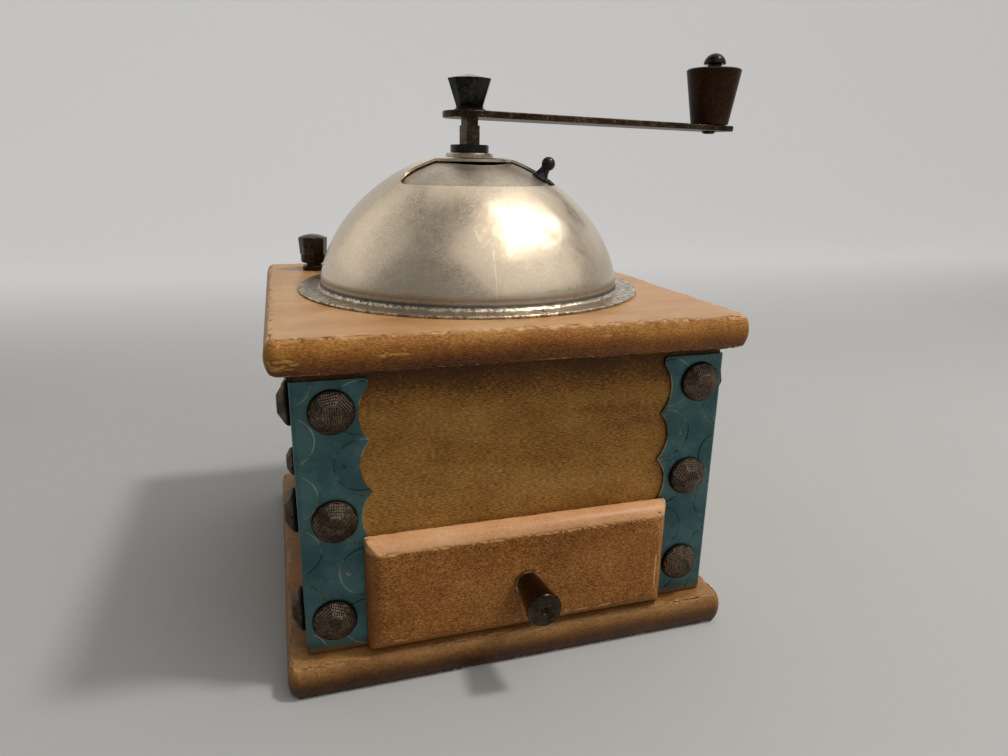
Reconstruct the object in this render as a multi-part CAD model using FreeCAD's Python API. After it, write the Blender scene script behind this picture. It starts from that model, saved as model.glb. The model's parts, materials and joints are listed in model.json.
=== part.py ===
import FreeCAD, Part
import math
import os

# Manual coffee grinder, a box mill with a dome hopper and a crank.
# Millimetres, X to the right, Y to the back, Z up.
# The origin is the centre of the base board's underside.

V = FreeCAD.Vector
X = V(1, 0, 0)
Y = V(0, 1, 0)
Z = V(0, 0, 1)
O = V(0, 0, 0)

# Boards, their widths set by the body and how far each board stands out over it
BODY_HALF = 63.5
BASE_OVER = 7.0
BASE_WIDE = 2 * (BODY_HALF + BASE_OVER)
BASE_THICK = 10.3
BASE_INSET = 1.3
TOP_OVER = 6.5
TOP_WIDE = 2 * (BODY_HALF + TOP_OVER)
TOP_THICK = 10.3
TOP_INSET = 1.6
BOARD_CORNER = 3.5
ARRIS = 0.7

# Body panels
BODY_HIGH = 85.3
WALL = 7.0
BODY_TOP = BASE_THICK + BODY_HIGH
H = BODY_TOP + TOP_THICK
INNER_HALF = BODY_HALF - WALL

# Corner plates
SHEET = 1.0
PLATE_FACE = BODY_HALF + SHEET
PLATE_BEND = 1.4
PLATE_GAP = 0.7
PLATE_LOW = BASE_THICK + PLATE_GAP
PLATE_TOP_GAP = 2.4
PLATE_TOP = BODY_TOP - PLATE_TOP_GAP
PITCHES = 5
PITCH = (PLATE_TOP - PLATE_LOW) / PITCHES
LUG_TOP = 2.5
LUG_LOW = 3.2
LUG_CHAMFER = 0.7
SCALLOP_LOW = PLATE_LOW + LUG_LOW
SCALLOP_PITCH = (PLATE_TOP - LUG_TOP - SCALLOP_LOW) / PITCHES
PLATE_WIDE = 20.3
SCALLOP_DEEP = 2.9
CUSP_X = PLATE_FACE - PLATE_WIDE
HOLLOW_X = CUSP_X + SCALLOP_DEEP
LINE_WIDE = 0.4
LINE_DEEP = 0.2
INNER_RING_IN = 17.75
INNER_RING_X = PLATE_FACE - INNER_RING_IN
INNER_RING_R = 7.5
BEND_RING_OUT = 1.25
BEND_RING_X = PLATE_FACE + BEND_RING_OUT
BEND_RING_R = 6.9
DIMPLE_IN = 12.8
DIMPLE_X = PLATE_FACE - DIMPLE_IN
DIMPLE_R = 0.9
DIMPLE_DEEP = 0.25

# Studs
STUD_R = 6.35
STUD_RIM = 0.7
STUD_HIGH = 3.3
STUD_CROWN = 4.8
STUD_IN = 9.3
STUD_AT = PLATE_FACE - STUD_IN
STUD_UP = 11.4
STUD_DOWN = 8.4
STUD_FIRST = PLATE_LOW + STUD_UP
STUD_LAST = PLATE_TOP - STUD_DOWN
STUD_HEIGHTS = (STUD_FIRST, (STUD_FIRST + STUD_LAST) / 2, STUD_LAST)
# How far each hand-set stud strays, inwards and upwards, from the lowest of a flange to the highest
STUD_STRAY = {
    "front_left": ((-1.1, -1.1), (0.5, -1.0), (1.1, -0.3)),
    "front_right": ((0.0, 0.1), (0.1, -0.1), (-1.3, 0.0)),
    "back_left": ((0.4, -0.6), (-0.5, 0.3), (0.2, 0.7)),
    "back_right": ((-0.3, 0.5), (0.6, -0.4), (0.5, 0.2)),
}
STUD_FACETS = 6
STUD_FLAT_R = 2.5
NAIL_R = 0.9
NAIL_LONG = 6.0
SNUG = 0.05

# Mill inside the body, hung from the underside of the top board
HOUSE_FLANGE_GAP = 6.5
HOUSE_FLANGE_R = INNER_HALF - HOUSE_FLANGE_GAP
HOUSE_FLANGE = 3.0
HOLE_IN = 10.0
HOLE_R = HOUSE_FLANGE_R - HOLE_IN
HOUSE_SCREW_IN = 4.5
HOUSE_SCREW_R = HOUSE_FLANGE_R - HOUSE_SCREW_IN
SEAT_R = 20.0
HOUSE_WALL = 4.0
HOUSE_R = SEAT_R + HOUSE_WALL
SEAT_DROP = 19.4
SEAT_TOP = BODY_TOP - SEAT_DROP
THROAT_R = 13.2
HOUSE_LONG = 22.2
HOUSE_LOW = SEAT_TOP - HOUSE_LONG
BURR_UP = 3.0
BURR_LOW = HOUSE_LOW + BURR_UP
BURR_OUT_TOP_R = 13.0
BURR_OUT_LOW_R = 16.2
BURR_IN_DROP = 1.2
BURR_IN_TOP = SEAT_TOP - BURR_IN_DROP
BURR_IN_UP = 1.0
BURR_IN_LOW = BURR_LOW + BURR_IN_UP
BURR_IN_TOP_R = 7.5
BURR_IN_LOW_R = 15.2
SHAFT_R = 4.0
LOWER_JOURNAL_R = 3.95
BRIDGE_WIDE = 12.0
BRIDGE_THICK = 3.0
HUB_R = 7.0
HUB_LONG = 9.0
HUB_LOW = HOUSE_LOW - HUB_LONG
BRIDGE_SCREW_AT = SEAT_R + HOUSE_WALL / 2
BRIDGE_SCREW_DEEP = 7.0
PAD_R = 3.9
PAD_THICK = 2.0
PAD_TOP = HOUSE_LOW - BRIDGE_THICK
PAD_LOW = PAD_TOP - PAD_THICK
SHAFT_GAP = 0.05
SHAFT_END = PAD_TOP + SHAFT_GAP
ADJUST_R = 3.95
WHEEL_R = 9.0
WHEEL_THICK = 3.1
WHEEL_GAP = 1.2
WHEEL_TOP = HUB_LOW - WHEEL_GAP
WHEEL_LOW = WHEEL_TOP - WHEEL_THICK

# Drawer, its height set by the thumb wheel it passes under
TRAY_GAP = 2.7
TRAY_TOP = WHEEL_LOW - TRAY_GAP
TRAY_RAISE = 0.4
TRAY_LOW = BASE_THICK + TRAY_RAISE
FRONT_IN = 16.3
FRONT_HALF = BODY_HALF - FRONT_IN
FRONT_LOW = BASE_THICK + PLATE_GAP
FRONT_OVER = 8.7
FRONT_TOP = TRAY_TOP + FRONT_OVER
FRONT_GAP = 0.3
FRONT_THICK = 5.7
FRONT_BACK = PLATE_FACE + FRONT_GAP
FRONT_FACE = FRONT_BACK + FRONT_THICK
FRONT_ROUND_IN = 3.8
FRONT_EDGE = 0.6
OPENING_LAP = 7.6
OPENING_HALF = FRONT_HALF - OPENING_LAP
OPENING_OVER = 1.8
OPENING_TOP = TRAY_TOP + OPENING_OVER
TRAY_SIDE_GAP = 0.6
TRAY_HALF = OPENING_HALF - TRAY_SIDE_GAP
TRAY_BACK_GAP = 16.5
TRAY_END = INNER_HALF - TRAY_BACK_GAP
TRAY_SIDE = 4.0
TRAY_FLOOR = 2.6
TRAY_FLOOR_UP = 1.6
GUIDE_WIDE = 8.0
GUIDE_HIGH = 9.0
GUIDE_GAP = 0.4

# Drawer knob
KNOB_DROP = 0.95
KNOB_Z = (FRONT_LOW + FRONT_TOP) / 2 - KNOB_DROP
KNOB_COLLAR_R = 3.95
KNOB_COLLAR = 0.8
KNOB_FOOT_R = 3.6
KNOB_NECK_R = 4.95
KNOB_CAP_R = 5.25
KNOB_RIM = 1.9
KNOB_RIM_WIDE = 0.95
KNOB_FACE_DROP = 0.35
KNOB_DIMPLE_R = 1.1
KNOB_DIMPLE_DEEP = 0.62
KNOB_LONG = 15.8
KNOB_SCREW_R = 1.6
KNOB_SCREW_DEEP = 9.0

# Dome hopper, heights above the top board
FOOT_R = 51.83
FLANGE_WIDE = 7.07
FLANGE_R = FOOT_R + FLANGE_WIDE
FLANGE_THICK = 0.9
FOOT_Z = 1.0
DOME_RISE = 45.39
DOME_POWER = 1.741
BOSS_R = 13.9
BOSS_SIN = math.sin(math.acos((BOSS_R / FOOT_R) ** (DOME_POWER / 2)))
DOME_TOP = FOOT_Z + DOME_RISE * BOSS_SIN ** (2 / DOME_POWER)
DOME_SHEET = 0.8
WINDOW_AT = -90.0
WINDOW_RIM = 1.1
WINDOW_R_IN = BOSS_R + WINDOW_RIM
WINDOW_OVER_FOOT = 21.73
WINDOW_R_OUT = FOOT_R - WINDOW_OVER_FOOT
WINDOW_CHORD = 7.0
WINDOW_ROUND = 6.5
WINDOW_ROUND_UP = WINDOW_CHORD + WINDOW_ROUND
WINDOW_ROUND_X = math.sqrt((WINDOW_R_OUT - WINDOW_ROUND) ** 2 - WINDOW_ROUND_UP ** 2)
WINDOW_ROUND_AT = math.degrees(math.atan2(WINDOW_ROUND_X, WINDOW_ROUND_UP))
WINDOW_ROUND_SPAN = math.degrees(math.asin(WINDOW_ROUND / (WINDOW_R_OUT - WINDOW_ROUND)))
WINDOW_HALF = WINDOW_ROUND_AT + WINDOW_ROUND_SPAN
SLOTS = 3
SLOT_FOOT_GAP = 1.07
SLOT_RIM_GAP = 2.1
SLOT_R_IN = FOOT_R + SLOT_FOOT_GAP
SLOT_R_OUT = FLANGE_R - SLOT_RIM_GAP
SLOT_WIDE = 0.8
SLOT_BAR = 2.3
SLOT_BAR_LONG = 0.6
SLOT_AT = -81.3
FLANGE_PIN_DEEP = 7.0
FLANGE_PIN_GAP = 0.15

# Bush on the dome, with the nut and the ring that hold it and the door under the dome
BUSH_FLANGE_R = 8.1
BUSH_FLANGE = 1.5
BUSH_R = 4.5
NUT_FLATS = 12.0
NUT_THICK = 3.3
NUT_LOW = DOME_TOP - DOME_SHEET - NUT_THICK

# Window door
DOOR_GAP = 0.45
DOOR_SHEET = 0.7
DOOR_LAP = 4.5
DOOR_LAP_OUT = 5.25
DOOR_NOTCH_R = 11.7
DOOR_NOTCH_AT = 4.8
DOOR_HUB_GAP = 0.3
HUB_Z = NUT_LOW - DOOR_HUB_GAP - DOOR_SHEET
DOOR_KNOB_AT = -29.0
DOOR_KNOB_IN = 5.0
DOOR_KNOB_R = WINDOW_R_OUT - DOOR_KNOB_IN
DOOR_BALL_R = 2.3
DOOR_BALL_UP = 4.25
DOOR_FOOT_R = 2.9
DOOR_NECK_R = 1.6
RETAINER_R = 7.0
RETAINER_THICK = 1.2
RETAINER_TOP = HUB_Z - DOOR_HUB_GAP
RETAINER_LOW = RETAINER_TOP - RETAINER_THICK
BUSH_LONG_UNDER = 0.2
BUSH_LOW = RETAINER_LOW - BUSH_LONG_UNDER

# Spindle and crank, heights above the top board
JOURNAL_R = 3.6
RUN = 0.05
DISC_R = 6.55
DISC_GAP = 0.1
DISC_THICK = 2.6
DISC_EDGE = 0.2
DISC_LOW = DOME_TOP + BUSH_FLANGE + DISC_GAP
DISC_TOP = DISC_LOW + DISC_THICK
SQUARE = 5.0
SQUARE_LONG = 6.2
SQUARE_TOP = DISC_TOP + SQUARE_LONG
NECK = 4.2
NECK_LONG = 2.3
ARM_LOW = SQUARE_TOP + NECK_LONG
ARM_THICK = 2.2
ARM_SQUARE = 3.4
STUD_THREAD_R = 1.65
ARM_TOP = ARM_LOW + ARM_THICK
WASHER_R = 5.35
WASHER_THICK = 0.6
WASHER_TOP = ARM_TOP + WASHER_THICK
CAP_LOW_R = 4.55
CAP_TOP_R = 7.5
CAP_FOOT = 0.9
CAP_HIGH = 9.5
CAP_CROWN = 1.5
CAP_TOP = WASHER_TOP + CAP_HIGH
CAP_APEX = CAP_TOP + CAP_CROWN
CAP_FACETS = 10
ARM_TURN = 15.0
CRANK_LONG = 115.0
EYE_R = 9.1
ARM_WIDE = 16.0
ARM_TIP_WIDE = 13.0
ARM_BEYOND = 9.0

# Crank handle
HANDLE_GAP = 0.3
HANDLE_LONG = 21.4
HANDLE_LOW = ARM_TOP + HANDLE_GAP
HANDLE_TOP = HANDLE_LOW + HANDLE_LONG
HANDLE_LOW_R = 7.6
HANDLE_MID_R = 9.15
HANDLE_MID_UP = 9.6
HANDLE_TOP_R = 11.0
HANDLE_RIM = 0.5
PIN_R = 2.5
PIN_RUN = 0.08
PIN_HEAD_R = 2.9
PIN_HEAD_HIGH = 1.1
PIN_COLLAR_R = 2.75
PIN_COLLAR_GAP = 0.15
BUTTON_GAP = 1.9
BUTTON_HIGH = 4.3
BUTTON_LOW = HANDLE_TOP + BUTTON_GAP
BUTTON_TOP = BUTTON_LOW + BUTTON_HIGH
BUTTON_WIDE_R = 4.5
BUTTON_EDGE = 0.3

# Rear corner knob, placed clear of the dome's flange
CORNER_GAP = 12.18
CORNER_AZ = 136.31
CORNER_X = (FLANGE_R + CORNER_GAP) * math.cos(math.radians(CORNER_AZ))
CORNER_Y = (FLANGE_R + CORNER_GAP) * math.sin(math.radians(CORNER_AZ))
CORNER_RING_R = 4.5
CORNER_RING = 2.0
CORNER_NECK_R = 3.0
CORNER_NECK = 0.75
CORNER_TIER_R = 5.0
CORNER_TIER_TOP = 6.0
CORNER_GROOVE_R = 4.7
CORNER_GROOVE = 0.3
CORNER_SIDES = 8
CORNER_LOW_R = 5.15
CORNER_TOP_R = 5.65
CORNER_SHOULDER = 12.0
CORNER_HIGH = 14.1
CORNER_PIN_R = 1.5
CORNER_PIN_DEEP = 7.0
CORNER_PIN_UP = 7.0

# Screws
SCREW_R = 1.6
SCREW_HEAD_R = 3.2
BASE_SCREW_IN = 7.5
BASE_SCREW_X = INNER_HALF - BASE_SCREW_IN
BASE_SCREW_Y = BODY_HALF - WALL / 2
BASE_SCREW_UP = 9.7
BASE_SCREW_END = BASE_THICK + BASE_SCREW_UP


def outline(start, steps):
    """Closed wire in the XZ plane. A step is a point, or a pair (through, end) for an arc."""
    edges = []
    here = V(start[0], 0, start[1])
    for step in list(steps) + [start]:
        if isinstance(step[0], tuple):
            through = V(step[0][0], 0, step[0][1])
            end = V(step[1][0], 0, step[1][1])
            edges.append(Part.Arc(here, through, end).toShape())
        else:
            end = V(step[0], 0, step[1])
            if (end - here).Length < 1e-7:
                continue
            edges.append(Part.makeLine(here, end))
        here = end
    return Part.Wire(edges)


def spin(start, steps, angle=360.0):
    """Solid of revolution about Z from an outline in the XZ plane."""
    return Part.Face(outline(start, steps)).revolve(O, Z, angle)


def cap(r0, z0, top):
    """Arc step of a spherical cap from a rim (r0, z0) to the axis at height top."""
    rise = top - z0
    radius = (r0 ** 2 + rise ** 2) / (2 * rise)
    centre = top - radius
    half = r0 / 2
    z = centre + math.copysign(math.sqrt(radius ** 2 - half ** 2), rise)
    return ((half, z), (0, top))


def spin_edges(edges, angle=360.0):
    return Part.Face(Part.Wire(edges)).revolve(O, Z, angle)


def box(x0, x1, y0, y1, z0, z1):
    return Part.makeBox(x1 - x0, y1 - y0, z1 - z0, V(x0, y0, z0))


def rod(radius, z0, z1, x=0.0, y=0.0):
    return Part.makeCylinder(radius, z1 - z0, V(x, y, z0), Z)


def tube(outer, inner, z0, z1):
    return rod(outer, z0, z1).cut(rod(inner, z0 - 1, z1 + 1))


def rod_along(radius, start, direction, length):
    return Part.makeCylinder(radius, length, start, direction)


def square_bar(side, z0, z1):
    half = side / 2
    return box(-half, half, -half, half, z0, z1)


def polygon_wire(radius, sides, z, turn=0.0):
    points = []
    for i in range(sides + 1):
        a = math.radians(turn + 360.0 * i / sides)
        points.append(V(radius * math.cos(a), radius * math.sin(a), z))
    return Part.makePolygon(points)


def prism(radius, sides, z0, z1, turn=0.0):
    return Part.Face(polygon_wire(radius, sides, z0, turn)).extrude(V(0, 0, z1 - z0))


def frustum(r0, z0, r1, z1, sides, turn=0.0):
    low = polygon_wire(r0, sides, z0, turn)
    high = polygon_wire(r1, sides, z1, turn)
    return Part.makeLoft([low, high], True, True)


def turned(shape, angle, axis=Z, centre=O):
    copy = shape.copy()
    copy.rotate(centre, axis, angle)
    return copy


def moved(shape, vector):
    copy = shape.copy()
    copy.translate(vector)
    return copy


def flipped_x(shape):
    return shape.mirror(O, X)


def join(shapes):
    first = shapes[0]
    return first.fuse(shapes[1:]).removeSplitter()


def group(shapes):
    return Part.makeCompound(shapes)


def polar(radius, angle, z=0.0):
    a = math.radians(angle)
    return V(radius * math.cos(a), radius * math.sin(a), z)


def up(z):
    """Height above the top board's face."""
    return H + z


# Boards

def board(wide, z0, thick, inset):
    """Square board whose four edges bulge outwards between two softened arrises."""
    half = wide / 2
    centre = half - BOARD_CORNER
    z1 = z0 + thick
    zm = (z0 + z1) / 2
    bulge = BOARD_CORNER
    rim = bulge - inset
    steps = [(rim, z0), ((bulge, zm), (rim, z1)), (0, z1)]
    corner = spin((0, z0), steps, 90)
    side = Part.Face(outline((0, z0), steps)).extrude(V(0, 2 * centre, 0))
    parts = [box(-centre, centre, -centre, centre, z0, z1)]
    for k in range(4):
        parts.append(turned(moved(corner, V(centre, centre, 0)), 90 * k))
        parts.append(turned(moved(side, V(centre, -centre, 0)), 90 * k))
    solid = join(parts)
    rims = []
    for edge in solid.Edges:
        b = edge.BoundBox
        flat = b.ZLength < 1e-4
        if flat and (abs(b.ZMin - z0) < 1e-4 or abs(b.ZMin - z1) < 1e-4):
            rims.append(edge)
    return solid.makeFillet(ARRIS, rims)


def base_board():
    solid = board(BASE_WIDE, 0.0, BASE_THICK, BASE_INSET)
    for x, y in base_screw_places():
        solid = solid.cut(rod(SCREW_R + SNUG, -1, BASE_THICK + 1, x, y))
        sink = Part.makeCone(SCREW_HEAD_R + SNUG + 0.4, SCREW_R + SNUG, 2.2, V(x, y, 0), Z)
        solid = solid.cut(sink)
    return solid


def base_screw_places():
    places = []
    for sx in (-1, 1):
        for sy in (-1, 1):
            places.append((sx * BASE_SCREW_X, sy * BASE_SCREW_Y))
    return places


def base_screws():
    screws = []
    for x, y in base_screw_places():
        head = Part.makeCone(SCREW_HEAD_R, SCREW_R, 1.9, V(x, y, 0.3), Z)
        shank = rod(SCREW_R, 1.5, BASE_SCREW_END - 3, x, y)
        point = Part.makeCone(SCREW_R, 0.3, 3, V(x, y, BASE_SCREW_END - 3), Z)
        slot = box(x - 4, x + 4, y - 0.4, y + 0.4, 0, 1.0)
        screws.append(join([head, shank, point]).cut(slot))
    return group(screws)


def house_screw_places():
    return [polar(HOUSE_SCREW_R, 45 + 90 * k) for k in range(4)]


def top_board():
    solid = board(TOP_WIDE, BODY_TOP, TOP_THICK, TOP_INSET)
    solid = solid.cut(rod(HOLE_R, BODY_TOP - 1, H + 1))
    for p in house_screw_places():
        solid = solid.cut(rod(SCREW_R + SNUG, BODY_TOP - 1, H - 3, p.x, p.y))
    for pin in flange_pin_list(SNUG):
        solid = solid.cut(pin)
    stud = rod(CORNER_PIN_R + SNUG, H - CORNER_PIN_DEEP, H + 1, CORNER_X, CORNER_Y)
    return solid.cut(stud)


# Body panels

def stud_places(corner):
    """Distance from the middle and height of the three studs on each flange of a corner."""
    places = []
    for (inwards, upwards), z in zip(STUD_STRAY[corner], STUD_HEIGHTS):
        places.append((STUD_AT - inwards, z + upwards))
    return places


FACE_CORNERS = (
    ("front_left", "front_right"),
    ("front_right", "back_right"),
    ("back_right", "back_left"),
    ("back_left", "front_left"),
)


def nail_holes(solid, *faces):
    """Pilot holes for the stud nails driven in from faces 0 front, 1 right, 2 back, 3 left."""
    for face in faces:
        for s, corner in zip((-1, 1), FACE_CORNERS[face]):
            for x, z in stud_places(corner):
                start = V(s * x, -PLATE_FACE - 1, z)
                hole = rod_along(NAIL_R + SNUG, start, Y, NAIL_LONG + SHEET + 1 + SNUG)
                solid = solid.cut(turned(hole, 90 * face))
    return solid


def front_panel():
    solid = box(-BODY_HALF, BODY_HALF, -BODY_HALF, -INNER_HALF, BASE_THICK, BODY_TOP)
    gate = box(-OPENING_HALF, OPENING_HALF, -BODY_HALF - 1, -INNER_HALF + 1, BASE_THICK - 1, OPENING_TOP)
    solid = solid.cut(gate)
    solid = bore_base_screws(solid)
    return nail_holes(solid, 0, 1, 3)


def back_panel():
    solid = box(-BODY_HALF, BODY_HALF, INNER_HALF, BODY_HALF, BASE_THICK, BODY_TOP)
    solid = bore_base_screws(solid)
    return nail_holes(solid, 2, 1, 3)


def bore_base_screws(solid):
    for x, y in base_screw_places():
        solid = solid.cut(rod(SCREW_R + SNUG, 0, BASE_SCREW_END + SNUG, x, y))
    return solid


def right_panel():
    solid = box(INNER_HALF, BODY_HALF, -INNER_HALF, INNER_HALF, BASE_THICK, BODY_TOP)
    return nail_holes(solid, 1)


def left_panel():
    solid = box(-BODY_HALF, -INNER_HALF, -INNER_HALF, INNER_HALF, BASE_THICK, BODY_TOP)
    return nail_holes(solid, 3)


def drawer_guide(side):
    inner = TRAY_HALF + GUIDE_GAP
    solid = box(inner, inner + GUIDE_WIDE, -INNER_HALF, INNER_HALF, BASE_THICK, BASE_THICK + GUIDE_HIGH)
    return solid if side > 0 else flipped_x(solid)


# Corner plates with their studs

def scallop_cut(half_depth):
    """Region inside the scalloped edge of a front flange, as a prism along Y."""
    steps = [(CUSP_X, SCALLOP_LOW)]
    for i in range(PITCHES):
        z = SCALLOP_LOW + i * SCALLOP_PITCH
        steps.append(((HOLLOW_X, z + SCALLOP_PITCH / 2), (CUSP_X, z + SCALLOP_PITCH)))
    steps.append((CUSP_X, PLATE_TOP - LUG_CHAMFER))
    steps.append((CUSP_X + LUG_CHAMFER + 2, PLATE_TOP + 2))
    steps.append((CUSP_X - 20, PLATE_TOP + 2))
    steps.append((CUSP_X - 20, PLATE_LOW - 2))
    steps.append((CUSP_X + LUG_CHAMFER + 2, PLATE_LOW - 2))
    face = Part.Face(outline((CUSP_X, PLATE_LOW + LUG_CHAMFER), steps))
    return moved(face.extrude(V(0, half_depth, 0)), V(0, -PLATE_FACE - 2, 0))


def ring_line(x, z, radius):
    """Pressed line round a circle on the front flange."""
    start = V(x, -PLATE_FACE - 1, z)
    deep = 1 + LINE_DEEP
    outer = rod_along(radius + LINE_WIDE / 2, start, Y, deep)
    inner = rod_along(radius - LINE_WIDE / 2, start, Y, deep)
    return outer.cut(inner)


def flange_marks():
    marks = []
    for i in range(PITCHES):
        z = PLATE_LOW + (i + 0.5) * PITCH
        marks.append(ring_line(INNER_RING_X, z, INNER_RING_R))
    band = box(0, PLATE_FACE - PLATE_BEND, -PLATE_FACE - 2, -BODY_HALF, 0, H)
    for i in range(PITCHES + 1):
        z = PLATE_LOW + i * PITCH
        marks.append(ring_line(BEND_RING_X, z, BEND_RING_R).common(band))
    for i in (1, 3):
        z = PLATE_LOW + (i + 0.5) * PITCH
        bowl = (DIMPLE_R ** 2 + DIMPLE_DEEP ** 2) / (2 * DIMPLE_DEEP)
        marks.append(Part.makeSphere(bowl, V(DIMPLE_X, -PLATE_FACE - bowl + DIMPLE_DEEP, z)))
    return marks


def swap_sides(shape):
    """Carries the front flange of the front right corner onto its side flange."""
    return shape.mirror(O, V(1, 1, 0).normalize())


def corner_plate(corner):
    """Bent plate of a corner, drawn as the front right one, with that corner's nail holes."""
    z0 = PLATE_LOW
    high = PLATE_TOP - PLATE_LOW
    blank = box(CUSP_X, PLATE_FACE, -PLATE_FACE, -CUSP_X, z0, PLATE_TOP)
    post = [e for e in blank.Edges if is_upright_at(e, PLATE_FACE, -PLATE_FACE)]
    blank = blank.makeFillet(PLATE_BEND, post)
    core = box(0, BODY_HALF, -BODY_HALF, 0, z0 - 1, PLATE_TOP + 1)
    plate = blank.cut(core)
    cut = scallop_cut(SHEET + 4)
    plate = plate.cut(cut).cut(swap_sides(cut))
    for mark in flange_marks():
        plate = plate.cut(mark)
        plate = plate.cut(swap_sides(mark))
    for x, z in stud_places(corner):
        hole = rod_along(NAIL_R + SNUG, V(x, -PLATE_FACE - 1, z), Y, SHEET + 2)
        plate = plate.cut(hole)
        plate = plate.cut(swap_sides(hole))
    return plate


def is_upright_at(edge, x, y):
    b = edge.BoundBox
    upright = b.XLength < 1e-4 and b.YLength < 1e-4
    return upright and abs(b.XMin - x) < 1e-4 and abs(b.YMin - y) < 1e-4


def stud():
    """Stud along +Z with its rim plane at z = 0: low faceted crown and a nail below."""
    bowl = (STUD_R ** 2 + (STUD_CROWN - STUD_RIM) ** 2) / (2 * (STUD_CROWN - STUD_RIM))
    crown = rod(STUD_R, 0, STUD_HIGH)
    crown = crown.common(Part.makeSphere(bowl, V(0, 0, STUD_CROWN - bowl)))
    for k in range(STUD_FACETS):
        tilt = 32.5 + 2.0 * math.sin(2.1 * k)
        lean = math.radians(tilt)
        reach = STUD_FLAT_R * math.sin(lean) + STUD_HIGH * math.cos(lean)
        slab = box(-20, 20, -20, 20, 0, 20)
        slab.rotate(O, Y, tilt)
        slab.translate(V(reach * math.sin(lean), 0, reach * math.cos(lean)))
        slab.rotate(O, Z, 360.0 * k / STUD_FACETS)
        crown = crown.cut(slab)
    nail = rod(NAIL_R, -NAIL_LONG - SHEET + 1.5, 1)
    point = Part.makeCone(0.2, NAIL_R, 1.5, V(0, 0, -NAIL_LONG - SHEET), Z)
    return join([crown, nail, point])


def corner_studs(corner):
    """Six studs of a corner, three on each flange, drawn as the front right ones."""
    studs = []
    for i, (x, z) in enumerate(stud_places(corner)):
        one = turned(stud(), 37.0 * i + 11.0)
        one.rotate(O, X, 90)
        one.translate(V(x, -PLATE_FACE, z))
        studs.append(one)
        studs.append(swap_sides(one))
    return group(studs)


# Drawer

def rounded_bar(half, long):
    """Bar along Z whose front is flat, with a round stretch back to the edge on each side."""
    back = -FRONT_BACK
    start = back - FRONT_EDGE
    face = -FRONT_FACE
    deep = start - face
    radius = (deep ** 2 + FRONT_ROUND_IN ** 2) / (2 * FRONT_ROUND_IN)
    lean = math.asin(deep / radius) / 2
    edges = []
    for s in (1, -1):
        mid = V(s * (half - radius + radius * math.cos(lean)), start - radius * math.sin(lean), 0)
        ends = (V(s * half, start, 0), V(s * (half - FRONT_ROUND_IN), face, 0))
        edges.append(Part.Arc(ends[0], mid, ends[1]).toShape())
        edges.append(Part.makeLine(V(s * half, back, 0), ends[0]))
    edges.append(Part.makeLine(V(-half, back, 0), V(half, back, 0)))
    edges.append(Part.makeLine(V(FRONT_ROUND_IN - half, face, 0), V(half - FRONT_ROUND_IN, face, 0)))
    bar = Part.Face(Part.Wire(Part.__sortEdges__(edges))).extrude(V(0, 0, long))
    return moved(bar, V(0, 0, -long / 2))


def drawer_front():
    """Board with its face edges rounded, mitred at the corners where two rounded bars cross."""
    high = FRONT_TOP - FRONT_LOW
    across = rounded_bar(FRONT_HALF, high)
    upright = turned(rounded_bar(high / 2, 2 * FRONT_HALF), 90, Y)
    solid = moved(across.common(upright), V(0, 0, (FRONT_LOW + FRONT_TOP) / 2))
    bore = rod_along(KNOB_SCREW_R + SNUG, V(0, -FRONT_FACE - 1, KNOB_Z), Y, 20)
    return solid.cut(bore)


def drawer_side(side):
    solid = box(TRAY_HALF - TRAY_SIDE, TRAY_HALF, -FRONT_BACK, TRAY_END, TRAY_LOW, TRAY_TOP)
    return solid if side > 0 else flipped_x(solid)


def drawer_back():
    half = TRAY_HALF - TRAY_SIDE
    return box(-half, half, TRAY_END - TRAY_SIDE, TRAY_END, TRAY_LOW, TRAY_TOP)


def drawer_bottom():
    half = TRAY_HALF - TRAY_SIDE
    low = TRAY_LOW + TRAY_FLOOR_UP
    return box(-half, half, -FRONT_BACK, TRAY_END - TRAY_SIDE, low, low + TRAY_FLOOR)


def drawer_knob():
    """Turned knob standing out along -Y: collar, straight cone, rim, and a face with a dimple."""
    long = KNOB_LONG
    face = long - KNOB_FACE_DROP
    neck = long - KNOB_RIM
    steps = [
        (KNOB_COLLAR_R, 0),
        (KNOB_COLLAR_R, KNOB_COLLAR),
        (KNOB_FOOT_R, KNOB_COLLAR),
        (KNOB_NECK_R, neck),
        ((KNOB_CAP_R, (neck + face) / 2), (KNOB_CAP_R - 0.3, face)),
        (KNOB_CAP_R - KNOB_RIM_WIDE, face),
        ((KNOB_DIMPLE_R + 1.5, long - 0.08), (KNOB_DIMPLE_R, long)),
        cap(KNOB_DIMPLE_R, long, long - KNOB_DIMPLE_DEEP),
    ]
    solid = spin((0, 0), steps)
    solid = solid.cut(rod(KNOB_SCREW_R + SNUG, -1, KNOB_SCREW_DEEP))
    solid.rotate(O, X, 90)
    solid.translate(V(0, -FRONT_FACE, KNOB_Z))
    return solid


def drawer_knob_screw():
    """Round-head screw from inside the tray into the knob."""
    thick = FRONT_FACE - FRONT_BACK
    reach = thick + KNOB_SCREW_DEEP - 0.5
    head = [(3.0, 0), cap(3.0, 0, -2.0)]
    solid = spin((0, 0), head)
    solid = join([solid, rod(KNOB_SCREW_R, -0.5, reach)])
    solid = solid.cut(box(-4, 4, -0.4, 0.4, -2.5, -1.1))
    solid.rotate(O, X, 90)
    solid.translate(V(0, -FRONT_BACK, KNOB_Z))
    return solid


# Dome hopper, its door and its bush

def dome_point(t):
    r = FOOT_R * math.cos(t) ** (2 / DOME_POWER)
    z = FOOT_Z + DOME_RISE * math.sin(t) ** (2 / DOME_POWER)
    return r, z


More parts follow.
